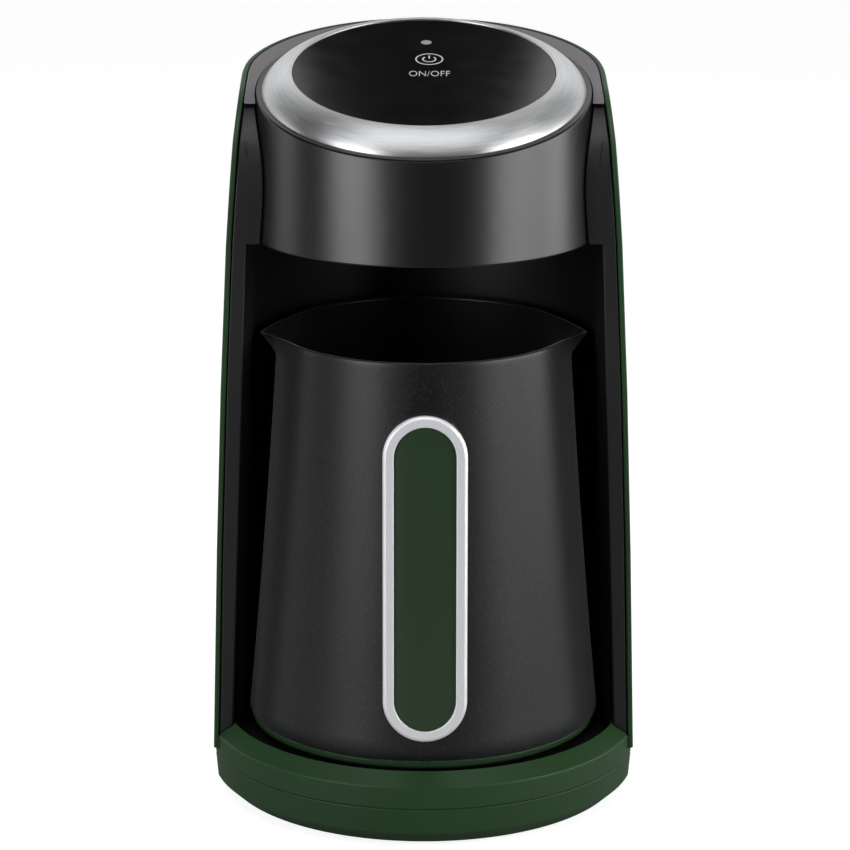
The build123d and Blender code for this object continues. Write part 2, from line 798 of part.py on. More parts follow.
with BuildPart() as head_underside:
    add(head_form(head_wall + roof_gap, roof_z))
    add(drum(far, roof_plate_z, roof_ledge_z), mode=Mode.INTERSECT)
    with BuildSketch(level(roof_z)):
        with Locations((0, sensor_set_back)):
            Circle(sensor_diameter / 2 + roof_gap)
    extrude(amount=far / 4, mode=Mode.SUBTRACT)
finish(head_underside.part, "head_underside")

with BuildPart() as sensor_lens:
    with BuildSketch(level(roof_plate_z - sensor_proud)):
        with Locations((0, sensor_set_back)):
            Circle(sensor_diameter / 2)
    extrude(amount=roof_thickness + sensor_proud)
    with BuildSketch(level(roof_ledge_z)):
        with Locations((0, sensor_set_back)):
            Circle(sensor_diameter / 2 + sensor_flange)
    extrude(amount=sensor_flange)
    chamfer(sensor_lens.edges().group_by(Axis.Z)[0], sensor_edge)
finish(sensor_lens.part, "sensor_lens")

# ------------------------------------------------------------------ ring, trim and control panel
diagonal = sqrt(0.5)
roll_fall = ring_drop - ring_edge
roll_middle = (
    ring_flat_radius + ring_roll_width * diagonal,
    -ring_edge - roll_fall * (1 - diagonal),
)
with BuildPart() as steel_ring:
    with BuildSketch(panel_turning):
        with BuildLine():
            Polyline(
                (ring_inner_radius + ring_sheet, -ring_lip),
                (ring_inner_radius, -ring_lip),
                (ring_inner_radius, 0),
                (ring_flat_radius, -ring_edge),
            )
            ThreePointArc((ring_flat_radius, -ring_edge), roll_middle, (ring_outer_radius, -ring_drop))
            Polyline(
                (ring_outer_radius, -ring_drop),
                (ring_outer_radius - ring_sheet, -ring_drop),
                (roll_middle[0] - ring_sheet * diagonal, roll_middle[1] - ring_sheet * diagonal),
                (ring_flat_radius, -ring_edge - ring_sheet),
                (ring_inner_radius + ring_sheet, -ring_sheet),
                (ring_inner_radius + ring_sheet, -ring_lip),
            )
        make_face()
    revolve(axis=panel_axis)
finish(steel_ring.part, "steel_ring")

panel_underside = panel_recess + panel_thickness
carrier_radius = ring_outer_radius - trim_shoulder
trim_top = ring_lip + ring_gap
trim_foot = panel_underside + trim_shelf_height
with BuildPart() as rim_trim:
    with BuildSketch(panel_turning):
        with BuildLine():
            Polyline(
                (trim_radius, -trim_below_panel),
                (trim_radius, -ring_drop),
                (carrier_radius, -ring_drop),
                (carrier_radius, -ring_drop + trim_shoulder),
                (ring_flat_radius, -trim_top),
                (ring_inner_radius, -trim_top),
                (ring_inner_radius, -panel_underside),
                (ring_inner_radius - trim_shelf, -panel_underside),
                (ring_inner_radius - trim_shelf, -trim_foot),
                (ring_flat_radius, -trim_foot),
                (ring_flat_radius, -trim_below_panel),
                close=True,
            )
        make_face()
    revolve(axis=panel_axis)
finish(rim_trim.part, "rim_trim")


dish_radius = (panel_radius**2 + panel_dish**2) / (2 * panel_dish)


def dish(radius):
    """Depth of the panel's hollow top below its edge, at a radius."""
    return sqrt(dish_radius**2 - radius**2) - (dish_radius - panel_dish)


board_top = panel_underside + board_drop
board_bottom = board_top + board_thickness
board_post_places = PolarLocations(board_post_radius, 3, 30)
with BuildPart() as control_panel:
    with BuildSketch(panel_plane.offset(-panel_underside)):
        Circle(panel_radius)
    extrude(amount=panel_thickness)
    with Locations(panel_plane.offset(dish_radius - panel_dish - panel_recess)):
        Sphere(dish_radius, mode=Mode.SUBTRACT)
    with BuildSketch(panel_plane.offset(-panel_underside)):
        with board_post_places:
            Circle(board_post_diameter / 2)
    extrude(amount=-board_drop)
    with BuildSketch(panel_plane.offset(-board_top)):
        with board_post_places:
            Circle(board_screw_diameter / 2)
    extrude(amount=board_drop, mode=Mode.SUBTRACT)
    with BuildSketch(panel_plane):
        with Locations((key_offset, key_up)):
            Circle(key_diameter / 2 + key_gap)
        with Locations((lamp_offset, lamp_up)):
            Circle(lamp_diameter / 2)
    extrude(amount=-panel_underside, mode=Mode.SUBTRACT)
finish(control_panel.part, "control_panel")


def panel_disc(below_panel, across, up, diameter, depth):
    """A disc whose upper face lies below the panel plane, at a place on the panel."""
    with BuildPart() as disc:
        with BuildSketch(panel_plane.offset(-below_panel)):
            with Locations((across, up)):
                Circle(diameter / 2)
        extrude(amount=-depth)
    return disc.part


key_top = panel_recess + dish(sqrt(key_offset**2 + key_up**2))
key_flange_top = panel_underside + key_gap
stem_end = board_top - switch_height - key_travel - switch_gap
with BuildPart() as power_key:
    add(panel_disc(key_top, key_offset, key_up, key_diameter, key_flange_top - key_top))
    flange_diameter = key_diameter + 2 * key_flange
    add(panel_disc(key_flange_top, key_offset, key_up, flange_diameter, key_flange_thickness))
    add(panel_disc(key_flange_top, key_offset, key_up, key_stem, stem_end - key_flange_top))
finish(power_key.part, "power_key")

with BuildPart() as key_switch:
    with BuildSketch(panel_plane.offset(-board_top)):
        with Locations((key_offset, key_up)):
            Rectangle(switch_width, switch_width)
    extrude(amount=switch_height - switch_plunger_height)
    add(panel_disc(board_top - switch_height, key_offset, key_up, switch_plunger, switch_height))
finish(key_switch.part, "key_switch")

lamp_top = panel_recess + dish(sqrt(lamp_offset**2 + lamp_up**2))
lens_foot = board_top - led_height - switch_gap
with BuildPart() as lamp_lens:
    add(panel_disc(lamp_top, lamp_offset, lamp_up, lamp_diameter, panel_underside - lamp_top))
    flange_diameter = lamp_diameter + 2 * lamp_flange
    lens_depth = lens_foot - panel_underside
    add(panel_disc(panel_underside, lamp_offset, lamp_up, flange_diameter, lens_depth))
finish(lamp_lens.part, "lamp_lens")

with BuildPart() as indicator_led:
    add(panel_disc(board_top - led_height, lamp_offset, lamp_up, led_diameter, led_height))
    chamfer(indicator_led.edges().sort_by(panel_axis)[-1], led_edge)
finish(indicator_led.part, "indicator_led")

with BuildPart() as control_board:
    add(panel_disc(board_top, 0, 0, 2 * board_radius, board_thickness))
    with BuildSketch(panel_plane.offset(-board_top)):
        with board_post_places:
            Circle(board_screw_diameter / 2)
    extrude(amount=-board_thickness, mode=Mode.SUBTRACT)
finish(control_board.part, "control_board")

finish(panel_disc(board_bottom, 0, -buzzer_down, buzzer_diameter, buzzer_height), "buzzer")

with BuildPart() as board_screws:
    with BuildSketch(panel_plane.offset(-board_bottom)):
        with board_post_places:
            Circle(board_screw_head / 2)
    extrude(amount=-board_screw_head_height)
    with BuildSketch(panel_plane.offset(-board_bottom)):
        with board_post_places:
            Circle(board_screw_diameter / 2)
    extrude(amount=board_thickness + board_drop - board_screw_diameter)
finish(board_screws.part, "board_screws")

# ------------------------------------------------------------------ pot


def pot_radius(rise):
    """Outer radius of the pot at a height above its lower edge: steep above its belly."""
    if rise < pot_belly_rise:
        share = rise / pot_belly_rise
        return pot_base_radius + share * (pot_belly_radius - pot_base_radius)
    share = (rise - pot_belly_rise) / (pot_height - pot_belly_rise)
    return pot_belly_radius + share * (pot_rim_radius - pot_belly_radius)


def pot_form(inset, low, high):
    """The pot's turned body as a solid between two heights above its lower edge."""
    rises = [low, high]
    if low < pot_belly_rise < high:
        rises.insert(1, pot_belly_rise)
    side = [(pot_radius(rise) - inset, lip_z + rise) for rise in rises]
    with BuildPart() as form:
        with BuildSketch(turning):
            with BuildLine():
                Polyline((0, lip_z + low), *side, (0, lip_z + high), close=True)
            make_face()
        revolve(axis=pot_axis)
    return form.part


def spouts(inset):
    """The two pouring lips as solids, drawn in by inset."""
    low = pot_height - spout_drop
    low_radius = pot_radius(low)
    spread = radians(spout_angle)
    root = pot_rim_radius * cos(spread)
    half_spread = pot_rim_radius * sin(spread)
    sections = (
        (pot_height, spout_reach - 2 * inset, root, half_spread, spout_tip_round),
        (low, low_radius - inset, low_radius - spout_toe, spout_toe, spout_tip_round / 3),
    )
    with BuildPart() as lips:
        for rise, tip, root, half_spread, tip_round in sections:
            with BuildSketch(level(lip_z + rise)) as section:
                with BuildLine():
                    Polyline(
                        (tip, 0),
                        (root - inset, half_spread - inset),
                        (root - spout_root, 0),
                        (root - inset, inset - half_spread),
                        close=True,
                    )
                make_face()
                fillet(section.vertices().sort_by(Axis.X)[-1], tip_round)
        loft(ruled=True)
        mirror(about=Plane.YZ)
    return lips.part


with BuildPart() as pot_vessel:
    add(pot_form(0, 0, pot_height))
    add(spouts(0))
    add(pot_form(pot_wall, pot_floor_rise + pot_floor_thickness, pot_height), mode=Mode.SUBTRACT)
    add(spouts(pot_wall), mode=Mode.SUBTRACT)
    add(pot_form(pot_wall, 0, pot_floor_rise), mode=Mode.SUBTRACT)
finish(pot_vessel.part, "pot_vessel")

socket_radius = plug_radius + socket_clearance
socket_roof_z = plug_top_z + socket_clearance
skirt_radius = pot_radius(pot_skirt_height) - pot_wall - pot_skirt_gap
skirt_top_z = lip_z + pot_skirt_height
cover_radius = skirt_radius - cover_wall
socket_outer = socket_radius + cover_wall
cover_floor_z = deck_z + cover_floor
pot_ring_radius = pot_base_radius - pot_ring_inset
with BuildPart() as pot_base_ring:
    with BuildSketch(turning):
        with BuildLine():
            Polyline(
                (pot_ring_radius - pot_ring_edge, lip_z - pot_ring_height),
                (pot_ring_radius, lip_z - pot_ring_height + pot_ring_edge),
                (pot_ring_radius, lip_z),
                (skirt_radius, lip_z),
                (skirt_radius, skirt_top_z),
                (cover_radius + pot_skirt_gap, skirt_top_z),
                (cover_radius + pot_skirt_gap, lip_z - pot_ring_height),
                close=True,
            )
        make_face()
    revolve(axis=pot_axis)
finish(pot_base_ring.part, "pot_base_ring")

with BuildPart() as pot_base_cover:
    with BuildSketch(turning):
        with BuildLine():
            Polyline(
                (socket_radius, cushion_top_z + socket_gap),
                (socket_radius, socket_roof_z),
                (socket_outer, socket_roof_z),
                (socket_outer, cover_floor_z),
                (cover_radius - cover_wall, cover_floor_z),
                (cover_radius - cover_wall, skirt_top_z),
                (cover_radius, skirt_top_z),
                (cover_radius, deck_z + cover_chamfer),
                (cover_radius - cover_chamfer, deck_z),
                (cushion_radius + socket_clearance, deck_z),
                (cushion_radius + socket_clearance, cushion_top_z + socket_gap),
                close=True,
            )
        make_face()
    revolve(axis=pot_axis)
finish(pot_base_cover.part, "pot_base_cover")

heater_z = lip_z + pot_floor_rise
heater_foot_z = heater_z - heater_plate
heater_radius = pot_base_radius - heater_inset
element_radius = heater_radius - element_inset
with BuildPart() as pot_connector:
    with BuildSketch(level(socket_roof_z)):
        Circle(socket_radius + socket_margin)
    extrude(amount=socket_thickness)
    with BuildSketch(level(socket_roof_z)):
        with PolarLocations(connector_post_radius, 3):
            Circle(connector_post_diameter / 2)
    extrude(amount=heater_foot_z - socket_roof_z)
    with BuildSketch(level(socket_roof_z)):
        Circle(plug_hole_radius - contact_clearance)
        Circle(plug_groove_outer - contact_clearance)
        Circle(plug_groove_inner + contact_clearance, mode=Mode.SUBTRACT)
    extrude(amount=-(plug_groove_depth - blade_gap))
finish(pot_connector.part, "pot_connector")

with BuildPart() as heater_disc:
    add(drum(heater_radius, heater_foot_z, heater_z))
finish(heater_disc.part, "heater_disc")

thermostat_foot_z = socket_roof_z + socket_thickness + switch_gap
with BuildPart() as thermostat:
    add(drum(thermostat_diameter / 2, thermostat_foot_z, heater_foot_z))
finish(thermostat.part, "thermostat")

with BuildPart() as heating_element:
    with BuildSketch(turning):
        with BuildLine():
            Polyline(
                (element_radius - element_width / 2, heater_foot_z),
                (element_radius - element_narrow / 2, heater_foot_z - element_height),
                (element_radius + element_narrow / 2, heater_foot_z - element_height),
                (element_radius + element_width / 2, heater_foot_z),
                close=True,
            )
        make_face()
    revolve(axis=pot_axis, revolution_arc=element_arc)
finish(heating_element.part, "heating_element")

# ------------------------------------------------------------------ handle
lean = radians(grip_lean)
handle_screw_places = [(0, -handle_screw_spread), (0, handle_screw_spread)]
grip_plane = Plane(
    origin=(0, axis_y - grip_reach, lip_z + grip_middle_rise),
    x_dir=(1, 0, 0),
    z_dir=(0, -cos(lean), sin(lean)),
)
arm_end_y = -pot_rim_radius / 2  # well inside the pot, which then trims the arms


def strap_y(rise):
    """Middle of the strap in the leaning grip, forward of the pot axis."""
    return -grip_reach + strap_depth + (rise - grip_middle_rise) * tan(lean)


def handle_loop(outside, inside, outer_round, inner_round, width):
    """Both arms and the grip's core, as a band round the strap's middle line."""
    upper, lower = arm_upper_rise, arm_lower_rise
    with BuildPart() as band:
        with BuildSketch(side_view):
            for reach, end_y, corner_round, mode in (
                (outside, arm_end_y, outer_round, Mode.ADD),
                (-inside, arm_end_y + arm_overrun, inner_round, Mode.SUBTRACT),
            ):
                with BuildSketch(mode=Mode.PRIVATE) as loop:
                    with BuildLine():
                        Polyline(
                            (end_y, lip_z + upper + reach),
                            (strap_y(upper) - reach, lip_z + upper + reach),
                            (strap_y(lower) - reach, lip_z + lower - reach),
                            (end_y, lip_z + lower - reach),
                            close=True,
                        )
                    make_face()
                    fillet(loop.vertices().sort_by(Axis.X)[:2], corner_round)
                add(loop.sketch, mode=mode)
        extrude(amount=width / 2, both=True)
    return band.part


half_strap = strap_thickness / 2
with BuildPart() as handle_strap:
    add(
        handle_loop(
            half_strap,
            half_strap,
            strap_bend + half_strap,
            strap_bend - half_strap,
            strap_width,
        )
    )
    add(pot_form(0, 0, pot_height), mode=Mode.SUBTRACT)
    with BuildSketch(grip_plane):
        with Locations(*handle_screw_places):
            Circle(handle_screw_diameter / 2)
    extrude(amount=-grip_depth, mode=Mode.SUBTRACT)
finish(handle_strap.part, "handle_strap")

core_front = grip_frame_height
handle_screw_length = grip_depth - core_front - handle_screw_margin
with BuildPart() as handle_body:
    with BuildSketch(grip_plane.offset(-core_front)):
        SlotOverall(grip_length - 2 * grip_shadow, grip_width - 2 * grip_shadow, rotation=90)
    extrude(amount=-(grip_depth - core_front))
    fillet(handle_body.faces().sort_by(Axis.Y)[-1].edges(), grip_round)
    add(handle_loop(arm_outside, arm_inside, strap_bend + arm_outside, finger_round, arm_width))
    add(pot_form(-pad_gap, 0, pot_height), mode=Mode.SUBTRACT)
    add(
        handle_loop(
            half_strap + strap_gap,
            half_strap + strap_gap,
            strap_bend + half_strap,
            strap_bend - half_strap,
            strap_width + 2 * strap_gap,
        ),
        mode=Mode.SUBTRACT,
    )
    with BuildSketch(grip_plane.offset(-core_front)):
        with Locations(*handle_screw_places):
            Circle(handle_screw_diameter / 2 + handle_screw_clearance)
    extrude(amount=-(handle_screw_length + handle_screw_clearance), mode=Mode.SUBTRACT)
    with BuildSketch(grip_plane.offset(-core_front)):
        with Locations(*handle_screw_places):
            Circle(handle_screw_head / 2 + handle_screw_clearance)
    extrude(amount=-handle_screw_head_height, mode=Mode.SUBTRACT)
finish(handle_body.part, "handle_body")

with BuildPart() as handle_screws:
    with BuildSketch(grip_plane.offset(-core_front)):
        with Locations(*handle_screw_places):
            Circle(handle_screw_head / 2)
    extrude(amount=-handle_screw_head_height)
    with BuildSketch(grip_plane.offset(-core_front)):
        with Locations(*handle_screw_places):
            Circle(handle_screw_diameter / 2)
    extrude(amount=-handle_screw_length)
finish(handle_screws.part, "handle_screws")

with BuildPart() as handle_frame:
    with BuildSketch(grip_plane.offset(-grip_frame_height)):
        SlotOverall(grip_length, grip_width, rotation=90)
        SlotOverall(
            grip_length - 2 * grip_frame_band,
            grip_width - 2 * grip_frame_band,
            rotation=90,
            mode=Mode.SUBTRACT,
        )
    extrude(amount=grip_frame_height)
    front_face = handle_frame.faces().sort_by(Axis.Y)[0]
    chamfer(front_face.outer_wire().edges(), grip_frame_bevel)
finish(handle_frame.part, "handle_frame")

inlay_width = grip_width - 2 * grip_frame_band - 2 * inlay_gap
crown_radius = ((inlay_width / 2) ** 2 + inlay_crown**2) / (2 * inlay_crown)
with BuildPart() as handle_inlay:
    with BuildSketch(grip_plane.offset(-grip_frame_height)):
        SlotOverall(
            grip_length - 2 * grip_frame_band - 2 * inlay_gap,
            inlay_width,
            rotation=90,
        )
    extrude(amount=grip_frame_height)
    crown_plane = Plane(
        origin=grip_plane.origin - grip_plane.z_dir * crown_radius,
        x_dir=(1, 0, 0),
        z_dir=grip_plane.y_dir,
    )
    with BuildSketch(crown_plane):
        Circle(crown_radius)
    extrude(amount=grip_length, both=True, mode=Mode.INTERSECT)
finish(handle_inlay.part, "handle_inlay")
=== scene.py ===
"""Looks for an electric Turkish coffee maker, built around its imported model.

The machine stands on z = 0 with the pot's handle towards -Y. Sizes are named in millimetres and
turned to metres by MM; the floor and the lamps are in metres. Round pieces are drawn at the
origin, ring by ring, and then set on the pot's axis or on the tilted panel. Pieces that copy a CAD
node are merged, a few are reshaped, and most get rounded edges.
"""

import json
from math import atan2, cos, pi, radians, sin, sqrt

import bpy
from mathutils import Matrix, Vector


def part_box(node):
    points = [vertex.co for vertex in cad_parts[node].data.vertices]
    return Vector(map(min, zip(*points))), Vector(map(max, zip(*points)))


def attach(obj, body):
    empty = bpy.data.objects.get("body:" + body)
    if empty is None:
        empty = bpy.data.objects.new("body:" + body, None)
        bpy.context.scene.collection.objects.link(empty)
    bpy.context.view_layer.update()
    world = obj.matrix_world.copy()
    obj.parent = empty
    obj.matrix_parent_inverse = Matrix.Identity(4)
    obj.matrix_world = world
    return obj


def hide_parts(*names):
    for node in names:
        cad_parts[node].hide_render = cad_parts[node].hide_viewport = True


MM = 0.001

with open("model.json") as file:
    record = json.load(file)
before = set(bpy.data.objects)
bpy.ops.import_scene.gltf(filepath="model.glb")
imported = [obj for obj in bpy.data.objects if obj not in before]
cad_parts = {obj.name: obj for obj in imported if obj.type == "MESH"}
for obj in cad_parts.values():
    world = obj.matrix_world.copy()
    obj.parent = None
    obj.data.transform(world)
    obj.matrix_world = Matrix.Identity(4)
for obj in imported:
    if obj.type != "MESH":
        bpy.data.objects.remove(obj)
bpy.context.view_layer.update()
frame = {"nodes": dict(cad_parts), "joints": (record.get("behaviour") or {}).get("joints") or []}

# ------------------------------------------------------------------ places read from the frame
deck_low, deck_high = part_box("pot_deck")
AXIS_Y = (deck_low.y + deck_high.y) / 2
LIP_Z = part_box("base_upper")[1].z
key_joint = next(joint for joint in frame["joints"] if joint["name"] == "key_press")
PANEL_NORMAL = -Vector(key_joint["axis"]).normalized()
PANEL_RISE = 199.0  # the lip to the middle of the panel's plane
POT_PLACE = Matrix.Translation((0, AXIS_Y, LIP_Z))
PANEL_PLACE = (
    Matrix.Translation((0, AXIS_Y, LIP_Z + PANEL_RISE * MM))
    @ Vector((0, 0, 1)).rotation_difference(PANEL_NORMAL).to_matrix().to_4x4()
)

ROUND_STEPS = 192  # sides of a large turned piece
SMOOTH_ANGLE = radians(35)
COPY_MERGE = 0.002  # corners of a copied node nearer than this are one
TURNED_MERGE = 0.004  # and those of a turned piece
POLE_RADIUS = 0.001  # stands for a radius of nothing, so that every ring can be scaled
FLAT_ANGLE = radians(0.05)  # triangles that turn by less lie in one face
BEVEL_ANGLE = radians(30)  # edges that turn by more are rounded
BEVEL_SEGMENTS = 3


# ------------------------------------------------------------------ materials
def linear(colour):
    """An sRGB hex colour as the linear values that the shaders take."""
    channels = [int(colour[i : i + 2], 16) / 255 for i in (1, 3, 5)]
    return [c / 12.92 if c <= 0.04045 else ((c + 0.055) / 1.055) ** 2.4 for c in channels] + [1]


def new_material(name, **sockets):
    """A material whose main shader has the given values on its own sockets."""
    material = bpy.data.materials.new(name)
    material.use_nodes = True
    shader = material.node_tree.nodes["Principled BSDF"]
    for socket, value in sockets.items():
        shader.inputs[socket.replace("_", " ")].default_value = value
    return material, shader


def add(material, kind, inputs, stops=(), **settings):
    """Adds a node: settings are its properties, inputs its values or the sockets linked to it, and
    stops the positions and colours of a colour ramp."""
    node = material.node_tree.nodes.new(kind)
    for name, value in settings.items():
        setattr(node, name, value)
    for name, value in inputs.items():
        if isinstance(value, bpy.types.NodeSocket):
            material.node_tree.links.new(value, node.inputs[name])
        else:
            node.inputs[name].default_value = value
    for i, (position, colour) in enumerate(stops):
        node.color_ramp.elements[i].position = position
        node.color_ramp.elements[i].color = linear(colour)
    return node


def link(material, shader, **sockets):
    """Links sockets to the shader's own ones of these names."""
    for name, socket in sockets.items():
        material.node_tree.links.new(socket, shader.inputs[name.replace("_", " ")])


CLOUD_WIDTH = 38.0  # patches that hands have polished


def moulded_plastic(name, colour, worn, roughness, grain, depth, specular=0.5):
    """Plastic or rubber moulded in a spark-eroded tool: an even satin with a fine pebbled grain,
    a little cloudier where hands have polished it. grain is the pebble's width."""
    material, shader = new_material(name, IOR=1.53, Specular_IOR_Level=specular)
    place = add(material, "ShaderNodeTexCoord", {}).outputs["Object"]
    cloud_inputs = {"Vector": place, "Scale": 1 / (CLOUD_WIDTH * MM), "Detail": 3}
    clouds = add(material, "ShaderNodeTexNoise", cloud_inputs).outputs["Fac"]
    stops = ((0.3, colour), (0.75, worn))
    tint = add(material, "ShaderNodeValToRGB", {"Fac": clouds}, stops)
    sheen = add(
        material,
        "ShaderNodeMapRange",
        {"Value": clouds, "To Min": roughness + 0.04, "To Max": roughness - 0.04},
    )
    pebble_inputs = {"Vector": place, "Scale": 1 / (grain * MM)}
    pebbles = add(material, "ShaderNodeTexVoronoi", pebble_inputs, feature="SMOOTH_F1")
    bump = add(
        material,
        "ShaderNodeBump",
        {"Height": pebbles.outputs["Distance"], "Distance": depth * MM, "Strength": 0.6},
    )
    link(
        material,
        shader,
        Base_Color=tint.outputs["Color"],
        Roughness=sheen.outputs["Result"],
        Normal=bump.outputs["Normal"],
    )
    return material


WAVE_WIDTH = 14.0
SMEAR_WIDTH = 9.0


def polished_plastic(name, colour, roughness, specular):
    """Polished sheet or lens: nearly a mirror, with the faint waviness of a moulding and smears."""
    material, shader = new_material(
        name, IOR=1.49, Specular_IOR_Level=specular, Base_Color=linear(colour)
    )
    place = add(material, "ShaderNodeTexCoord", {}).outputs["Object"]
    wave_inputs = {"Vector": place, "Scale": 1 / (WAVE_WIDTH * MM), "Detail": 1}
    waves = add(material, "ShaderNodeTexNoise", wave_inputs).outputs["Fac"]
    bump_inputs = {"Height": waves, "Distance": 0.02 * MM, "Strength": 0.4}
    bump = add(material, "ShaderNodeBump", bump_inputs)
    smear_inputs = {"Vector": place, "Scale": 1 / (SMEAR_WIDTH * MM), "Detail": 4}
    smears = add(material, "ShaderNodeTexNoise", smear_inputs).outputs["Fac"]
    sheen_inputs = {"Value": smears, "To Min": roughness * 0.7, "To Max": roughness * 1.4}
    sheen = add(material, "ShaderNodeMapRange", sheen_inputs)
    link(material, shader, Normal=bump.outputs["Normal"], Roughness=sheen.outputs["Result"])
    return material


STROKE_WIDTH = 0.4  # real strokes are finer than a render can show
STROKES_PER_RADIAN = 5.0  # which makes them about 9 mm long


def brushed_steel_ring():
    """Stainless sheet brushed round the ring: fine concentric strokes that spread the light."""
    material, shader = new_material(
        "stainless_brushed_round", Metallic=1.0, Anisotropic=0.75, Anisotropic_Rotation=0.25
    )
    centred = add(
        material,
        "ShaderNodeMapping",
        {
            "Vector": add(material, "ShaderNodeTexCoord", {}).outputs["Object"],
            "Location": PANEL_PLACE.translation,
            "Rotation": PANEL_PLACE.to_euler(),
        },
        vector_type="TEXTURE",
    )
    parts = add(material, "ShaderNodeSeparateXYZ", {"Vector": centred.outputs["Vector"]}).outputs
    flat = add(material, "ShaderNodeCombineXYZ", {"X": parts["X"], "Y": parts["Y"]})
    radius = add(material, "ShaderNodeVectorMath", {0: flat.outputs["Vector"]}, operation="LENGTH")
    angle = add(material, "ShaderNodeMath", {0: parts["Y"], 1: parts["X"]}, operation="ARCTAN2")
    strokes = [
        add(material, "ShaderNodeMath", {0: measure, 1: density}, operation="MULTIPLY")
        for measure, density in (
            (radius.outputs["Value"], 1 / (STROKE_WIDTH * MM)),
            (angle.outputs["Value"], STROKES_PER_RADIAN),
            (parts["Z"], 1 / (STROKE_WIDTH * MM)),
        )
    ]
    across, along, height = [node.outputs["Value"] for node in strokes]
    stroke = add(material, "ShaderNodeCombineXYZ", {"X": across, "Y": along, "Z": height})
    brushing_inputs = {"Vector": stroke.outputs["Vector"], "Scale": 1.0, "Detail": 3}
    brushing = add(material, "ShaderNodeTexNoise", brushing_inputs).outputs["Fac"]
    bump_inputs = {"Height": brushing, "Distance": 0.04 * MM, "Strength": 0.8}
    bump = add(material, "ShaderNodeBump", bump_inputs)
    sheen_inputs = {"Value": brushing, "To Min": 0.32, "To Max": 0.52}
    sheen = add(material, "ShaderNodeMapRange", sheen_inputs)
    stops = ((0.25, "#b4b5b7"), (0.75, "#cfd0d1"))
    tint = add(material, "ShaderNodeValToRGB", {"Fac": brushing}, stops)
    turn = add(material, "ShaderNodeTangent", {}, direction_type="RADIAL", axis="Z")
    link(
        material,
        shader,
        Normal=bump.outputs["Normal"],
        Roughness=sheen.outputs["Result"],
        Base_Color=tint.outputs["Color"],
        Tangent=turn.outputs["Tangent"],
    )
    return material


COATING_WIDTHS = (0.5, 0.9, 25.0)  # flecks, orange peel and bloom


def sprayed_coating(name, colour, fleck, roughness):
    """Baked satin coating on a drawn pot: a tight orange peel with a dusting of paler flecks and
    the soft bloom of a sprayed surface."""
    material, shader = new_material(
        name, IOR=1.5, Specular_IOR_Level=0.38, Sheen_Weight=0.2, Sheen_Roughness=0.4
    )
    place = add(material, "ShaderNodeTexCoord", {}).outputs["Object"]
    patterns = [
        add(material, "ShaderNodeTexNoise", {"Vector": place, "Scale": 1 / (width * MM), "Detail": 2})
        for width in COATING_WIDTHS
    ]
    flecks, peel, bloom = [pattern.outputs["Fac"] for pattern in patterns]
    stops = ((0.5, colour), (0.72, fleck))
    tint = add(material, "ShaderNodeValToRGB", {"Fac": flecks}, stops)
    bump_inputs = {"Height": peel, "Distance": 0.03 * MM, "Strength": 0.5}
    bump = add(material, "ShaderNodeBump", bump_inputs)
    sheen_inputs = {"Value": bloom, "To Min": roughness - 0.03, "To Max": roughness + 0.03}
    sheen = add(material, "ShaderNodeMapRange", sheen_inputs)
    link(
        material,
        shader,
        Base_Color=tint.outputs["Color"],
        Normal=bump.outputs["Normal"],
        Roughness=sheen.outputs["Result"],
    )
    return material


def satin_metal(name, colour, roughness, grain=0.5, metallic=1.0):
    """Rolled, plated or stamped metal: a soft sheen with faint marks of handling, grain mm wide."""
    material, shader = new_material(name, Metallic=metallic, Base_Color=linear(colour))
    place = add(material, "ShaderNodeTexCoord", {}).outputs["Object"]
    mark_inputs = {"Vector": place, "Scale": 1 / (grain * MM), "Detail": 3}
    marks = add(material, "ShaderNodeTexNoise", mark_inputs).outputs["Fac"]
    sheen_inputs = {"Value": marks, "To Min": roughness - 0.06, "To Max": roughness + 0.06}
    sheen = add(material, "ShaderNodeMapRange", sheen_inputs)
    bump_inputs = {"Height": marks, "Distance": 0.01 * MM, "Strength": 0.4}
    bump = add(material, "ShaderNodeBump", bump_inputs)
    link(material, shader, Roughness=sheen.outputs["Result"], Normal=bump.outputs["Normal"])
    return material


INK_GRAIN = 0.4


def printed_ink(name, colour, thin):
    """Pale pad-printed ink, very slightly uneven: thin is its colour where it is thinnest."""
    material, shader = new_material(name, Roughness=0.5)
    place = add(material, "ShaderNodeTexCoord", {}).outputs["Object"]
    cover = add(material, "ShaderNodeTexNoise", {"Vector": place, "Scale": 1 / (INK_GRAIN * MM)})
    stops = ((0, thin), (0.45, colour))
    tint = add(material, "ShaderNodeValToRGB", {"Fac": cover.outputs["Fac"]}, stops)
    link(material, shader, Base_Color=tint.outputs["Color"])
    return material


# Moulded: colour, colour where polished, roughness, pebble's width and depth, specular level.
housing_green = moulded_plastic("abs_green_satin", "#203a1f", "#233d22", 0.42, 0.5, 0.012, 0.2)
base_green = moulded_plastic("abs_green_satin_base", "#1f381e", "#223b21", 0.44, 0.5, 0.012, 0.2)
frame_black = moulded_plastic("abs_black_grained", "#101012", "#121214", 0.46, 0.7, 0.03, 0.4)
# painted light: the deck cover is the frame's black plastic, given a mid grey that stands in for the
# light falling on its upward face
deck_painted_light = moulded_plastic("abs_black_pebbled_painted_light", "#5f5c5f", "#656265", 0.5, 0.9, 0.06, 0.3)
head_grey = moulded_plastic("abs_grey_satin_paint", "#08080a", "#0a0a0c", 0.33, 0.4, 0.006)
handle_black = moulded_plastic("nylon_black_moulded", "#121314", "#161718", 0.48, 0.6, 0.02)
inlay_green = moulded_plastic("abs_green_smooth", "#1c2f1b", "#1f321e", 0.3, 0.4, 0.004, 0.4)
rubber_black = moulded_plastic("silicone_rubber_black", "#0f0f10", "#161617", 0.7, 0.5, 0.03, 0.3)
foot_green = moulded_plastic("elastomer_green", "#1d341c", "#203720", 0.6, 0.5, 0.02, 0.2)
board_green = moulded_plastic("laminate_green_lacquered", "#10452b", "#154c30", 0.3, 1.2, 0.01)
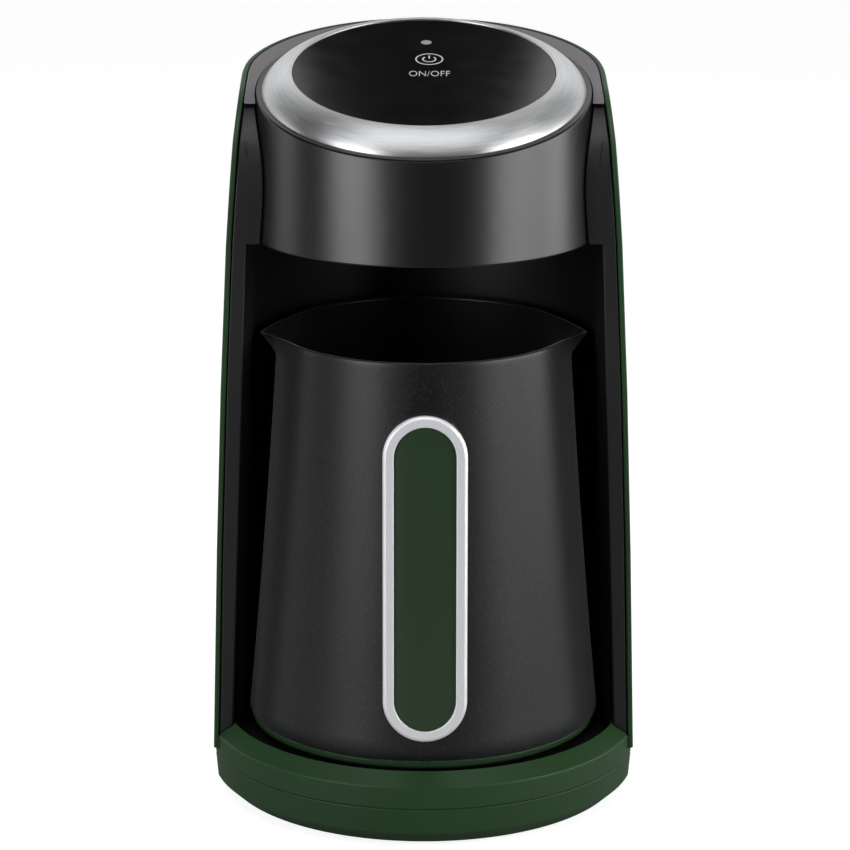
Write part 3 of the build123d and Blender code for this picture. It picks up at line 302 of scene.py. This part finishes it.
parts_grey = moulded_plastic("thermoset_grey", "#3a3c40", "#404247", 0.4, 0.6, 0.01)
# Polished: colour, roughness, specular level.
panel_black = polished_plastic("acrylic_black_polished", "#020202", 0.13, 0.4)
lens_dark = polished_plastic("polycarbonate_smoked", "#1b0d10", 0.1, 0.5)
lens_frosted = polished_plastic("polycarbonate_frosted", "#8c8a8b", 0.3, 0.5)
pot_coating = sprayed_coating("coating_black_satin", "#080909", "#222524", 0.36)
ring_steel = brushed_steel_ring()
# Metals: colour, roughness, width of the marks, metallic.
plated_bright = satin_metal("plating_satin_bright", "#e2e2e6", 0.5, 0.6, 0.6)
plain_steel = satin_metal("steel_zinc_plated", "#b4b7b9", 0.36)
brass = satin_metal("brass_stamped", "#b08d49", 0.3)
aluminium = satin_metal("aluminium_rolled", "#c4c6c8", 0.4)
ink_pale = printed_ink("ink_pale", "#b4b4b6", "#98989a")

SLOT_MATERIALS = {
    "housing_green": housing_green,
    "base_green": base_green,
    "frame_black": frame_black,
    "head_grey": head_grey,
    "panel_black": panel_black,
    "ring_steel": ring_steel,
    "pot_black": pot_coating,
    "handle_bright": plated_bright,
    "handle_black": handle_black,
    "inlay_green": inlay_green,
    "rubber_black": rubber_black,
    "steel": plain_steel,
    "brass": brass,
    "lens_dark": lens_dark,
    "board_green": board_green,
    "parts_grey": parts_grey,
    "aluminium": aluminium,
}


# ------------------------------------------------------------------ tools for modelling
def finish_piece(piece, body, slot, *nodes, material=None):
    """Gives a piece its material, the slot's own unless one is given, and lets it ride in place of
    the nodes it replaces.
    """
    piece.data.materials.clear()
    piece.data.materials.append(material or SLOT_MATERIALS[slot])
    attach(piece, body)
    if nodes:
        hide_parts(*nodes)


def only(piece):
    """Makes a piece the active object and the only one selected."""
    bpy.ops.object.select_all(action="DESELECT")
    piece.select_set(True)
    bpy.context.view_layer.objects.active = piece


def apply_all(piece):
    """Applies every modifier and puts the piece's place into its mesh."""
    only(piece)
    for modifier in list(piece.modifiers):
        bpy.ops.object.modifier_apply(modifier=modifier.name)
    bpy.ops.object.transform_apply(location=True, rotation=True, scale=True)


def smooth(piece, angle=SMOOTH_ANGLE):
    """Shades a piece smoothly across every edge that turns by less than an angle."""
    only(piece)
    bpy.ops.object.shade_smooth_by_angle(angle=angle)


def round_edges(piece, width):
    """Rounds every sharp edge by a width in mm."""
    bevel = piece.modifiers.new("edges", "BEVEL")
    bevel.width = width * MM
    bevel.segments = BEVEL_SEGMENTS
    bevel.limit_method = "ANGLE"
    bevel.angle_limit = BEVEL_ANGLE
    bevel.use_clamp_overlap = False
    bevel.harden_normals = True
    apply_all(piece)


def dressed(node, name, width, shape=None):
    """A copy of a CAD node with its loose triangles merged and its sharp edges rounded. A shape
    function may move its corners before the edges are rounded."""
    piece = bpy.data.objects.new(name, frame["nodes"][node].data.copy())
    bpy.context.scene.collection.objects.link(piece)
    only(piece)
    bpy.ops.object.mode_set(mode="EDIT")
    bpy.ops.mesh.select_all(action="SELECT")
    bpy.ops.mesh.remove_doubles(threshold=COPY_MERGE * MM)
    bpy.ops.mesh.dissolve_limited(angle_limit=FLAT_ANGLE)
    bpy.ops.mesh.customdata_custom_splitnormals_clear()
    bpy.ops.object.mode_set(mode="OBJECT")
    if shape:
        shape(piece)
    smooth(piece)
    if width:
        round_edges(piece, width)
    return piece


def turned(name, outline, place, closed=False):
    """A round piece drawn ring by ring: outline is its section as (radius, height) in mm.
    A closed outline is a hoop; an open one starts and ends on the axis or at an edge."""
    radius, height = outline[0]
    bpy.ops.mesh.primitive_circle_add(vertices=ROUND_STEPS, radius=max(radius, POLE_RADIUS) * MM)
    piece = bpy.context.object
    piece.name = name
    bpy.ops.object.mode_set(mode="EDIT")
    bpy.ops.mesh.select_all(action="SELECT")
    bpy.ops.transform.translate(value=(0, 0, height * MM))
    for next_radius, next_height in outline[1:] + ([outline[0]] if closed else []):
        bpy.ops.mesh.extrude_region_move(
            TRANSFORM_OT_translate={"value": (0, 0, (next_height - height) * MM)}
        )
        scale = max(next_radius, POLE_RADIUS) / max(radius, POLE_RADIUS)
        bpy.ops.transform.resize(value=(scale, scale, 1), center_override=(0, 0, next_height * MM))
        radius, height = next_radius, next_height
    bpy.ops.mesh.select_all(action="SELECT")
    bpy.ops.mesh.remove_doubles(threshold=TURNED_MERGE * MM)
    bpy.ops.mesh.normals_make_consistent(inside=False)
    bpy.ops.object.mode_set(mode="OBJECT")
    piece.matrix_world = place
    apply_all(piece)
    return piece


def arc(radius, height, size, start, end, count=6):
    """Points on an arc of an outline round (radius, height), between two angles in degrees."""
    return [
        (
            radius + size * cos(radians(start + (end - start) * i / count)),
            height + size * sin(radians(start + (end - start) * i / count)),
        )
        for i in range(count + 1)
    ]


# ------------------------------------------------------------------ pot
POT_HEIGHT = 120.0
POT_FOOT_RADIUS = 54.0
POT_BELLY_RADIUS = 47.7
POT_BELLY_RISE = 72.0
POT_RIM_RADIUS = 44.4
POT_WALL = 1.2
POT_FOOT_ROUND = 0.9
POT_SKIRT = (12.0, 0.2)  # the skirt's inside, from its top down to the foot
POT_FLOOR = 15.5  # inside floor above the pot's foot
POT_FLOOR_RINGS = (30, 12, 0)  # radii
POT_SHOULDER = 2.6  # rounding between wall and floor inside
POT_SMOOTH_ANGLE = radians(50)
WALL_RISES = [6 + 8 * i for i in range(13)]  # heights of the wall's rings
LIP_RISES = [106, 110.5, 112, 113.5, 115, 116.5, 118, 119]  # closer where the lips are drawn out
SPOUT_LENGTH = 5.9
SPOUT_DIP = 1.0  # the tip below the rim
SPOUT_ANGLE = radians(27)  # half of the rim's angle that a spout takes up
SPOUT_DROP = 7.2  # a spout fades into the wall this far below the rim
SPOUT_SHARPNESS = 1.8  # 1 has straight sides, more draws a finer beak
SPOUT_BLUNTING = 0.04  # share taken off the very tip
SPOUT_BLUNT_PART = 1 / 12  # of the angle, over which it is taken off


def pot_radius(rise):
    """Outer radius of the pot: a gentle hollow curve through its foot, belly and rim."""
    top, middle = POT_HEIGHT, POT_BELLY_RISE
    return (
        POT_FOOT_RADIUS * (rise - middle) * (rise - top) / (middle * top)
        + POT_BELLY_RADIUS * rise * (rise - top) / (middle * (middle - top))
        + POT_RIM_RADIUS * rise * (rise - middle) / (top * (top - middle))
    )


def pour_lips(piece):
    """Draws the pot's wall out into two pointed pouring lips, left and right."""
    for vertex in piece.data.vertices:
        x, y = vertex.co.x, vertex.co.y - AXIS_Y
        rise = (vertex.co.z - LIP_Z) / MM
        fade = (rise - (POT_HEIGHT - SPOUT_DROP)) / SPOUT_DROP
        off = abs(atan2(y, abs(x))) / SPOUT_ANGLE
        radius = sqrt(x * x + y * y)
        if fade <= 0 or off >= 1:
            continue
        fade = min(1.0, fade)
        beak = (1 - off) ** SPOUT_SHARPNESS
        beak -= SPOUT_BLUNTING * (1 - off) * max(0.0, 1 - off / SPOUT_BLUNT_PART)
        scale = 1 + SPOUT_LENGTH * MM * beak * fade / radius
        vertex.co.x *= scale
        vertex.co.y = AXIS_Y + y * scale
        vertex.co.z -= SPOUT_DIP * MM * beak * fade


def make_pot():
    """The drawn pot with its skirt, floor and pouring lips, coated black inside and out."""
    lip = POT_WALL / 2
    rises = WALL_RISES + LIP_RISES
    inner_rises = [rise for rise in reversed(rises) if rise > POT_FLOOR + POT_SHOULDER]
    shoulder_radius = pot_radius(POT_FLOOR) - POT_WALL - POT_SHOULDER
    outline = (
        [(pot_radius(0) - POT_WALL, rise) for rise in POT_SKIRT]
        + arc(pot_radius(0) - POT_FOOT_ROUND, POT_FOOT_ROUND, POT_FOOT_ROUND, 270, 360, 4)
        + [(pot_radius(rise), rise) for rise in rises]
        + arc(POT_RIM_RADIUS - lip, POT_HEIGHT - lip, lip, 0, 180)
        + [(pot_radius(rise) - POT_WALL, rise) for rise in inner_rises]
        + arc(shoulder_radius, POT_FLOOR + POT_SHOULDER, POT_SHOULDER, 0, -90)
        + [(radius, POT_FLOOR) for radius in POT_FLOOR_RINGS]
    )
    pot = turned("pot_body", outline, POT_PLACE)
    pour_lips(pot)
    smooth(pot, POT_SMOOTH_ANGLE)
    finish_piece(pot, "pot", "pot_black", "pot_vessel")


make_pot()

# ------------------------------------------------------------------ steel ring
RING_INNER = 39.3
RING_OUTER = 48.5
RING_FALL = 6.0
RING_SHEET = 0.8
RING_LIP = 1.6  # depth of the lip that stands round the panel
RING_FLATNESS = 1.38  # 1 rounds the section fully, 2 makes it a plain cone
RING_EDGE_ROUND = 0.25
RING_CORNER = 0.9  # depth of the corner between the bezel's inside and its lip


def bezel_section(inset, count):
    """Section of the bezel from its inner to its outer edge: a cone that steepens outwards."""
    width = RING_OUTER - RING_INNER - RING_EDGE_ROUND - inset
    fall = RING_FALL - inset
    turns = [pi / 2 * i / count for i in range(count + 1)]
    return [
        (
            RING_INNER + RING_EDGE_ROUND + width * sin(turn) ** RING_FLATNESS,
            -inset - fall * (1 - max(0.0, cos(turn)) ** RING_FLATNESS),
        )
        for turn in turns
    ]


def make_ring():
    """The spun steel bezel, a thin sheet that rolls over from the panel to the head."""
    inside = bezel_section(RING_SHEET, 10)[::-1]
    inner_wall = RING_INNER + RING_SHEET
    outline = (
        [(inner_wall, -RING_LIP), (RING_INNER, -RING_LIP), (RING_INNER, -RING_EDGE_ROUND)]
        + arc(RING_INNER + RING_EDGE_ROUND, -RING_EDGE_ROUND, RING_EDGE_ROUND, 180, 90, 4)
        + bezel_section(0, 20)[1:]
        + inside[:-1]
        + [(inner_wall, -RING_CORNER)]
    )
    ring = turned("steel_bezel", outline, PANEL_PLACE, closed=True)
    smooth(ring)
    finish_piece(ring, "root", "ring_steel", "steel_ring")


make_ring()

# ------------------------------------------------------------------ panel, key and lens
PANEL_DEPTH = 0.35  # the panel's flat face below the ring's inner edge
KEY_DEPTH = 0.4
LENS_DEPTH = 0.4
FACE_LIMIT = 1.75  # what lies less deep than this belongs to the face


def levelled(node, name, depth):
    """A copy of a node whose face is drawn level at a depth below the ring."""

    def level_face(piece):
        for vertex in piece.data.vertices:
            place = PANEL_PLACE.inverted() @ vertex.co
            if place.z > -FACE_LIMIT * MM:
                place.z = -depth * MM
                vertex.co = PANEL_PLACE @ place

    return dressed(node, name, 0, shape=level_face)


panel_face = levelled("control_panel", "panel_face", PANEL_DEPTH)
finish_piece(panel_face, "root", "panel_black", "control_panel")
key_cap = levelled("power_key", "key_cap", KEY_DEPTH)
finish_piece(key_cap, "power_key", "panel_black", "power_key")
lamp_window = levelled("lamp_lens", "lamp_window", LENS_DEPTH)
finish_piece(lamp_window, "root", "lens_dark", "lamp_lens", material=lens_frosted)

# ------------------------------------------------------------------ printing on the panel
PRINT_LIFT = 0.04  # thickness of the ink
KEY_AT = (1.6, 9.1)  # right of and above the panel's middle
WORDS_AT = (1.6, -1.9)
WORDS_SIZE = (12.2, 3.8)  # width and height
WORDS_THINNING = -0.012  # thins the strokes, by this share of the font's size
SYMBOL_RING = (4.2, 0.42)  # outer radius and stroke
SYMBOL_ARC = (2.15, 0.45)
SYMBOL_GAP = radians(40)  # half of the arc's opening at the top
SYMBOL_BAR = (0.45, 2.2)  # width and length
SYMBOL_BAR_RISE = 1.548  # the bar's middle above the symbol's
BAND_STEPS = 96


def on_panel(across, up, depth):
    """The place of a print on the panel, at a depth below the ring."""
    return PANEL_PLACE @ Matrix.Translation(Vector((across, up, -depth)) * MM)


def printed(piece, body, place):
    """Thickens a flat shape at the origin to a layer of ink and lays it on the panel."""
    only(piece)
    bpy.ops.object.mode_set(mode="EDIT")
    bpy.ops.mesh.select_all(action="SELECT")
    bpy.ops.mesh.extrude_region_move(TRANSFORM_OT_translate={"value": (0, 0, PRINT_LIFT * MM)})
    bpy.ops.mesh.select_all(action="SELECT")
    bpy.ops.mesh.normals_make_consistent(inside=False)
    bpy.ops.object.mode_set(mode="OBJECT")
    piece.matrix_world = place
    apply_all(piece)
    finish_piece(piece, body, "ring_steel", material=ink_pale)


def flat_band(name, radius, stroke, gap):
    """A flat ring at the origin, open at its top over twice the gap."""
    bpy.ops.object.select_all(action="DESELECT")
    bpy.ops.mesh.primitive_circle_add(vertices=BAND_STEPS, radius=radius * MM)
    band = bpy.context.object
    band.name = name
    bpy.ops.object.mode_set(mode="EDIT")
    bpy.ops.mesh.select_all(action="SELECT")
    bpy.ops.mesh.extrude_edges_move()
    scale = (radius - stroke) / radius
    bpy.ops.transform.resize(value=(scale, scale, 1), center_override=(0, 0, 0))
    bpy.ops.mesh.select_all(action="DESELECT")
    bpy.ops.object.mode_set(mode="OBJECT")
    if gap:
        for face in band.data.polygons:
            face.select = abs(atan2(face.center.x, face.center.y)) < gap
        bpy.ops.object.mode_set(mode="EDIT")
        bpy.ops.mesh.select_mode(type="FACE")
        bpy.ops.mesh.delete(type="FACE")
        bpy.ops.mesh.select_mode(type="VERT")
        bpy.ops.object.mode_set(mode="OBJECT")
    return band


def flat_bar(name, width, length, rise):
    """A flat upright bar with its middle at a rise above the origin."""
    bpy.ops.object.select_all(action="DESELECT")
    bpy.ops.mesh.primitive_grid_add(
        x_subdivisions=1, y_subdivisions=4, size=1, location=(0, rise * MM, 0)
    )
    bar = bpy.context.object
    bar.name = name
    bar.scale = (width * MM, length * MM, 1)
    apply_all(bar)
    return bar


def flat_words(name, text, width, height):
    """Thin flat lettering centred on the origin."""
    bpy.ops.object.text_add()
    words = bpy.context.object
    words.name = name
    words.data.body = text
    words.data.align_x = "CENTER"
    words.data.align_y = "CENTER"
    words.data.size = 1
    words.data.resolution_u = 4
    words.data.offset = WORDS_THINNING
    bpy.context.view_layer.update()
    scale = (width * MM / words.dimensions.x, height * MM / words.dimensions.y, 1)
    only(words)
    bpy.ops.object.convert(target="MESH")
    words = bpy.context.object
    words.scale = scale
    apply_all(words)
    return words


def make_prints():
    """The power symbol in its ring on the key, and the generic words below it."""
    key_place = on_panel(*KEY_AT, KEY_DEPTH)
    printed(flat_band("print_ring", *SYMBOL_RING, 0), "power_key", key_place)
    printed(flat_band("print_arc", *SYMBOL_ARC, SYMBOL_GAP), "power_key", key_place)
    printed(flat_bar("print_bar", *SYMBOL_BAR, SYMBOL_BAR_RISE), "power_key", key_place)
    words = flat_words("print_words", "ON/OFF", *WORDS_SIZE)
    printed(words, "root", on_panel(*WORDS_AT, PANEL_DEPTH))


make_prints()

# ------------------------------------------------------------------ shapes given to copied nodes
CROWN_START = 22.0  # behind the pot's axis
CROWN_END = 60.0
CROWN_FALL = 1.5
CROWN_DEPTH = 12.0  # what lies deeper under the deck stays as it is
CROWN_FADE = 1.4  # how soon the full fall is reached above that depth
DECK_BELOW_PANEL = 6.4
STRIP_ROUND = 32.0  # side view, radius of each strip's top
STRIP_ROUND_PLACE = (12.4, 161.03)  # its middle, behind the pot's axis and above the lip
STRIP_GAP = (51.2, 53.5, 172.0, 180.6)  # x and rise between which the frame's hollow breaks out
STRIP_TOLERANCE = 0.04  # how far off that round a corner of the gap may lie


def rise_of_deck(y):
    """Height of the tilted deck above the lip, y behind the pot's axis."""
    slope = atan2(PANEL_NORMAL.y, PANEL_NORMAL.z)
    return PANEL_RISE - DECK_BELOW_PANEL / cos(slope) - y * sin(slope) / cos(slope)


def crown(piece):
    """Lets the deck's edge fall a little towards the rear, as a moulded top does."""
    for vertex in piece.data.vertices:
        y, rise = (vertex.co.y - AXIS_Y) / MM, (vertex.co.z - LIP_Z) / MM
        near = 1 - (rise_of_deck(y) - rise) / CROWN_DEPTH
        if y > CROWN_START and near > 0:
            share = min(1.0, (y - CROWN_START) / (CROWN_END - CROWN_START))
            vertex.co.z -= CROWN_FALL * MM * share * min(1.0, near * CROWN_FADE)


def close_strips(piece):
    """Closes the small three-cornered gap in the round of each strip's top: its edges are split,
    and the round and the hollow behind it each get a face there."""
    low_x, high_x, low_rise, high_rise = STRIP_GAP
    mesh = piece.data

    def on_gap(place):
        y, rise = (place.y - AXIS_Y) / MM, (place.z - LIP_Z) / MM
        off = sqrt((y - STRIP_ROUND_PLACE[0]) ** 2 + (rise - STRIP_ROUND_PLACE[1]) ** 2)
        inside = low_x < abs(place.x) / MM < high_x and low_rise < rise < high_rise
        return inside and abs(off - STRIP_ROUND) < STRIP_TOLERANCE

    for side in (-1, 1):
        for part in (mesh.vertices, mesh.edges, mesh.polygons):
            for element in part:
                element.select = False
        for edge in mesh.edges:
            ends = [mesh.vertices[i].co for i in edge.vertices]
            edge.select = all(on_gap(end) and end.x * side > 0 for end in ends)
            if edge.select:
                for i in edge.vertices:
                    mesh.vertices[i].select = True
        only(piece)
        bpy.ops.object.mode_set(mode="EDIT")
        bpy.ops.mesh.select_mode(type="EDGE")
        bpy.ops.mesh.edge_split(type="EDGE")
        bpy.ops.mesh.select_all(action="DESELECT")
        bpy.ops.mesh.select_non_manifold(extend=False, use_wire=False, use_multi_face=False)
        bpy.ops.mesh.fill_holes(sides=0)
        bpy.ops.mesh.select_mode(type="VERT")
        bpy.ops.object.mode_set(mode="OBJECT")


# ------------------------------------------------------------------ pieces dressed from their nodes
DRESSED = (  # node, new name, body, slot, edge rounding in mm
    ("rear_shell", "housing_shell", "root", "housing_green", 0.5),
    ("top_cover", "deck_cover", "root", "frame_black", 0.3),
    ("bay_frame", "bay_and_strips", "root", "frame_black", 0.5),
    ("base_upper", "base_top", "root", "base_green", 0.45),
    ("base_lower", "base_tub", "root", "base_green", 0.45),
    ("head_shell", "head_barrel", "root", "head_grey", 0.6),
    ("rim_trim", "bezel_trim", "root", "head_grey", 0.15),
    ("pot_base_ring", "pot_foot_ring", "pot", "base_green", 0.4),
    ("pot_base_cover", "pot_foot_cover", "pot", "frame_black", 0.3),
    ("handle_body", "handle_core", "pot", "handle_black", 0.8),
    ("handle_frame", "handle_surround", "pot", "handle_bright", 0.35),
    ("handle_inlay", "handle_infill", "pot", "inlay_green", 0),
    ("rubber_feet", "feet", "root", "base_green", 0.3),
    ("pot_deck", "deck_plate", "root", "frame_black", 0.3),
    ("base_connector", "connector_boss", "root", "frame_black", 0.4),
    ("inlet_bush", "cord_bush", "root", "rubber_black", 0.4),
)
OWN_SHAPES = {"rear_shell": crown, "top_cover": crown, "bay_frame": close_strips}
# the top cover's grey is painted light on black plastic, not a grey moulding
OWN_MATERIALS = {"rubber_feet": foot_green, "top_cover": deck_painted_light}

for node, name, body, slot, width in DRESSED:
    piece = dressed(node, name, width, OWN_SHAPES.get(node))
    finish_piece(piece, body, slot, node, material=OWN_MATERIALS.get(node))

# ------------------------------------------------------------------ nodes that stay as they are
NODE_SLOTS = {
    "base_screws": "steel",
    "contact_sleeves": "brass",
    "frame_screws": "steel",
    "power_board": "board_green",
    "power_screws": "steel",
    "transformer": "parts_grey",
    "relay": "parts_grey",
    "terminal_block": "parts_grey",
    "head_underside": "frame_black",
    "sensor_lens": "lens_dark",
    "key_switch": "parts_grey",
    "indicator_led": "lens_dark",
    "control_board": "board_green",
    "buzzer": "parts_grey",
    "board_screws": "steel",
    "pot_connector": "frame_black",
    "heater_disc": "aluminium",
    "heating_element": "steel",
    "thermostat": "parts_grey",
    "handle_strap": "steel",
    "handle_screws": "steel",
}
for node, slot in NODE_SLOTS.items():
    mesh = frame["nodes"][node].data
    mesh.materials.clear()
    mesh.materials.append(SLOT_MATERIALS[slot])

# ------------------------------------------------------------------ floor, light and camera
CAMERA_PLACE = (-6 * MM, AXIS_Y - 1035.6 * MM, 390 * MM)
CAMERA_DOWN = radians(14.98)
CAMERA_LENS = 148.4
CAMERA_SENSOR = 36.0
CAMERA_SHIFT = 0.0248  # brings the part back to the middle
ROOM_LEVEL = 0.25  # even light that the room gives
MIRRORED_DARK = 0.03  # the room in front, as gloss mirrors it
BACKDROP_EDGES = (  # axis of a mirrored ray, where it sees none of the backdrop, and where all
    ("Y", 0.0, 0.3),
    ("Z", 0.52, 0.36),
)
FLOOR_GLOW = 0.85  # what keeps the floor white to the eye
FLOOR_SIZE = 12
MIDDLE = (0, AXIS_Y, 0.13)  # what the lamps look at
CARD_ACROSS = 0.158


def make_camera():
    """A long lens in front of the machine, looking a little down on it."""
    camera = bpy.data.objects.new("camera", bpy.data.cameras.new("camera"))
    camera.data.lens = CAMERA_LENS
    camera.data.sensor_width = CAMERA_SENSOR
    camera.data.sensor_fit = "HORIZONTAL"
    camera.data.shift_x = CAMERA_SHIFT
    camera.location = CAMERA_PLACE
    camera.rotation_euler = (pi / 2 - CAMERA_DOWN, 0, 0)
    bpy.context.scene.collection.objects.link(camera)
    bpy.context.scene.camera = camera


def around(angle, distance, height):
    """A place round the machine, its angle in degrees from the front."""
    return distance * sin(radians(angle)), AXIS_Y - distance * cos(radians(angle)), height


def soft_box(name, place, target, width, height, power, spread):
    """A rectangular lamp that looks at a target, its light kept within a spread in degrees."""
    lamp = bpy.data.lights.new(name, "AREA")
    lamp.shape = "RECTANGLE"
    lamp.size = width
    lamp.size_y = height
    lamp.energy = power
    lamp.spread = radians(spread)
    holder = bpy.data.objects.new(name, lamp)
    holder.location = place
    holder.rotation_euler = (Vector(target) - Vector(place)).to_track_quat("-Z", "Y").to_euler()
    bpy.context.scene.collection.objects.link(holder)


def make_world():
    """White behind the machine for the eye, and for what it mirrors a pale backdrop behind it and
    dimness in front."""
    world = bpy.data.worlds.new("studio")
    world.use_nodes = True
    bpy.context.scene.world = world
    rays = add(world, "ShaderNodeLightPath", {}).outputs
    direction = add(world, "ShaderNodeTexCoord", {}).outputs["Generated"]
    parts = add(world, "ShaderNodeSeparateXYZ", {"Vector": direction}).outputs
    edges = [
        add(world, "ShaderNodeMapRange", {"Value": parts[axis], "From Min": none, "From Max": full})
        for axis, none, full in BACKDROP_EDGES
    ]
    behind, low = [edge.outputs["Result"] for edge in edges]
    backdrop = add(world, "ShaderNodeMath", {0: behind, 1: low}, operation="MULTIPLY")
    mirrored = add(
        world,
        "ShaderNodeMath",
        {0: rays["Is Glossy Ray"], 1: rays["Is Transmission Ray"]},
        operation="MAXIMUM",
    )
    mirror_level = add(
        world,
        "ShaderNodeMapRange",
        {"Value": backdrop.outputs["Value"], "To Min": MIRRORED_DARK, "To Max": 1.0},
    )
    unseen = add(
        world,
        "ShaderNodeMix",
        {
            "Factor": mirrored.outputs["Value"],
            "A": ROOM_LEVEL,
            "B": mirror_level.outputs["Result"],
        },
    )
    level = add(
        world,
        "ShaderNodeMath",
        {0: unseen.outputs["Result"], 1: rays["Is Camera Ray"]},
        operation="MAXIMUM",
    )
    background = world.node_tree.nodes["Background"]
    background.inputs["Color"].default_value = (1, 1, 1, 1)
    link(world, background, Strength=level.outputs["Value"])


def make_floor():
    """A plain pale floor that stays white to the eye and keeps the machine's soft shadow."""
    bpy.ops.object.select_all(action="DESELECT")
    bpy.ops.mesh.primitive_plane_add(size=FLOOR_SIZE)
    floor = bpy.context.object
    floor.name = "floor"
    material, shader = new_material("paper_white", Roughness=0.9, Base_Color=linear("#a0a0a0"))
    shader.inputs["Emission Color"].default_value = (1, 1, 1, 1)
    seen = add(material, "ShaderNodeLightPath", {}).outputs["Is Camera Ray"]
    glow = add(material, "ShaderNodeMath", {0: seen, 1: FLOOR_GLOW}, operation="MULTIPLY")
    link(material, shader, Emission_Strength=glow.outputs["Value"])
    floor.data.materials.append(material)


def make_lamps():
    """Two large boxes in front, a weak one at each side, one above, and two cards behind that the
    panel and the ring mirror."""
    # name, place, target, width, height, power, spread
    soft_box("left_box", around(-46, 1.3, 0.35), MIDDLE, 0.7, 1.2, 3.8, 90)
    soft_box("right_box", around(63, 1.3, 0.35), MIDDLE, 0.9, 1.2, 4.8, 90)
    soft_box("left_strip", around(-100, 1.1, 0.15), MIDDLE, 0.35, 0.6, 0.22, 90)
    soft_box("right_strip", around(94, 1.1, 0.15), MIDDLE, 0.45, 0.6, 1.0, 90)
    soft_box("top_box", (0, -0.35, 1.5), MIDDLE, 1.2, 0.8, 5.5, 140)
    for name, side in (("left_card", -1), ("right_card", 1)):
        place = (side * CARD_ACROSS, AXIS_Y + 0.35, 0.56)
        soft_box(name, place, PANEL_PLACE.translation, 0.24, 0.3, 0.3, 180)


make_camera()
make_world()
make_floor()
make_lamps()

bpy.context.scene.view_settings.view_transform = "Standard"
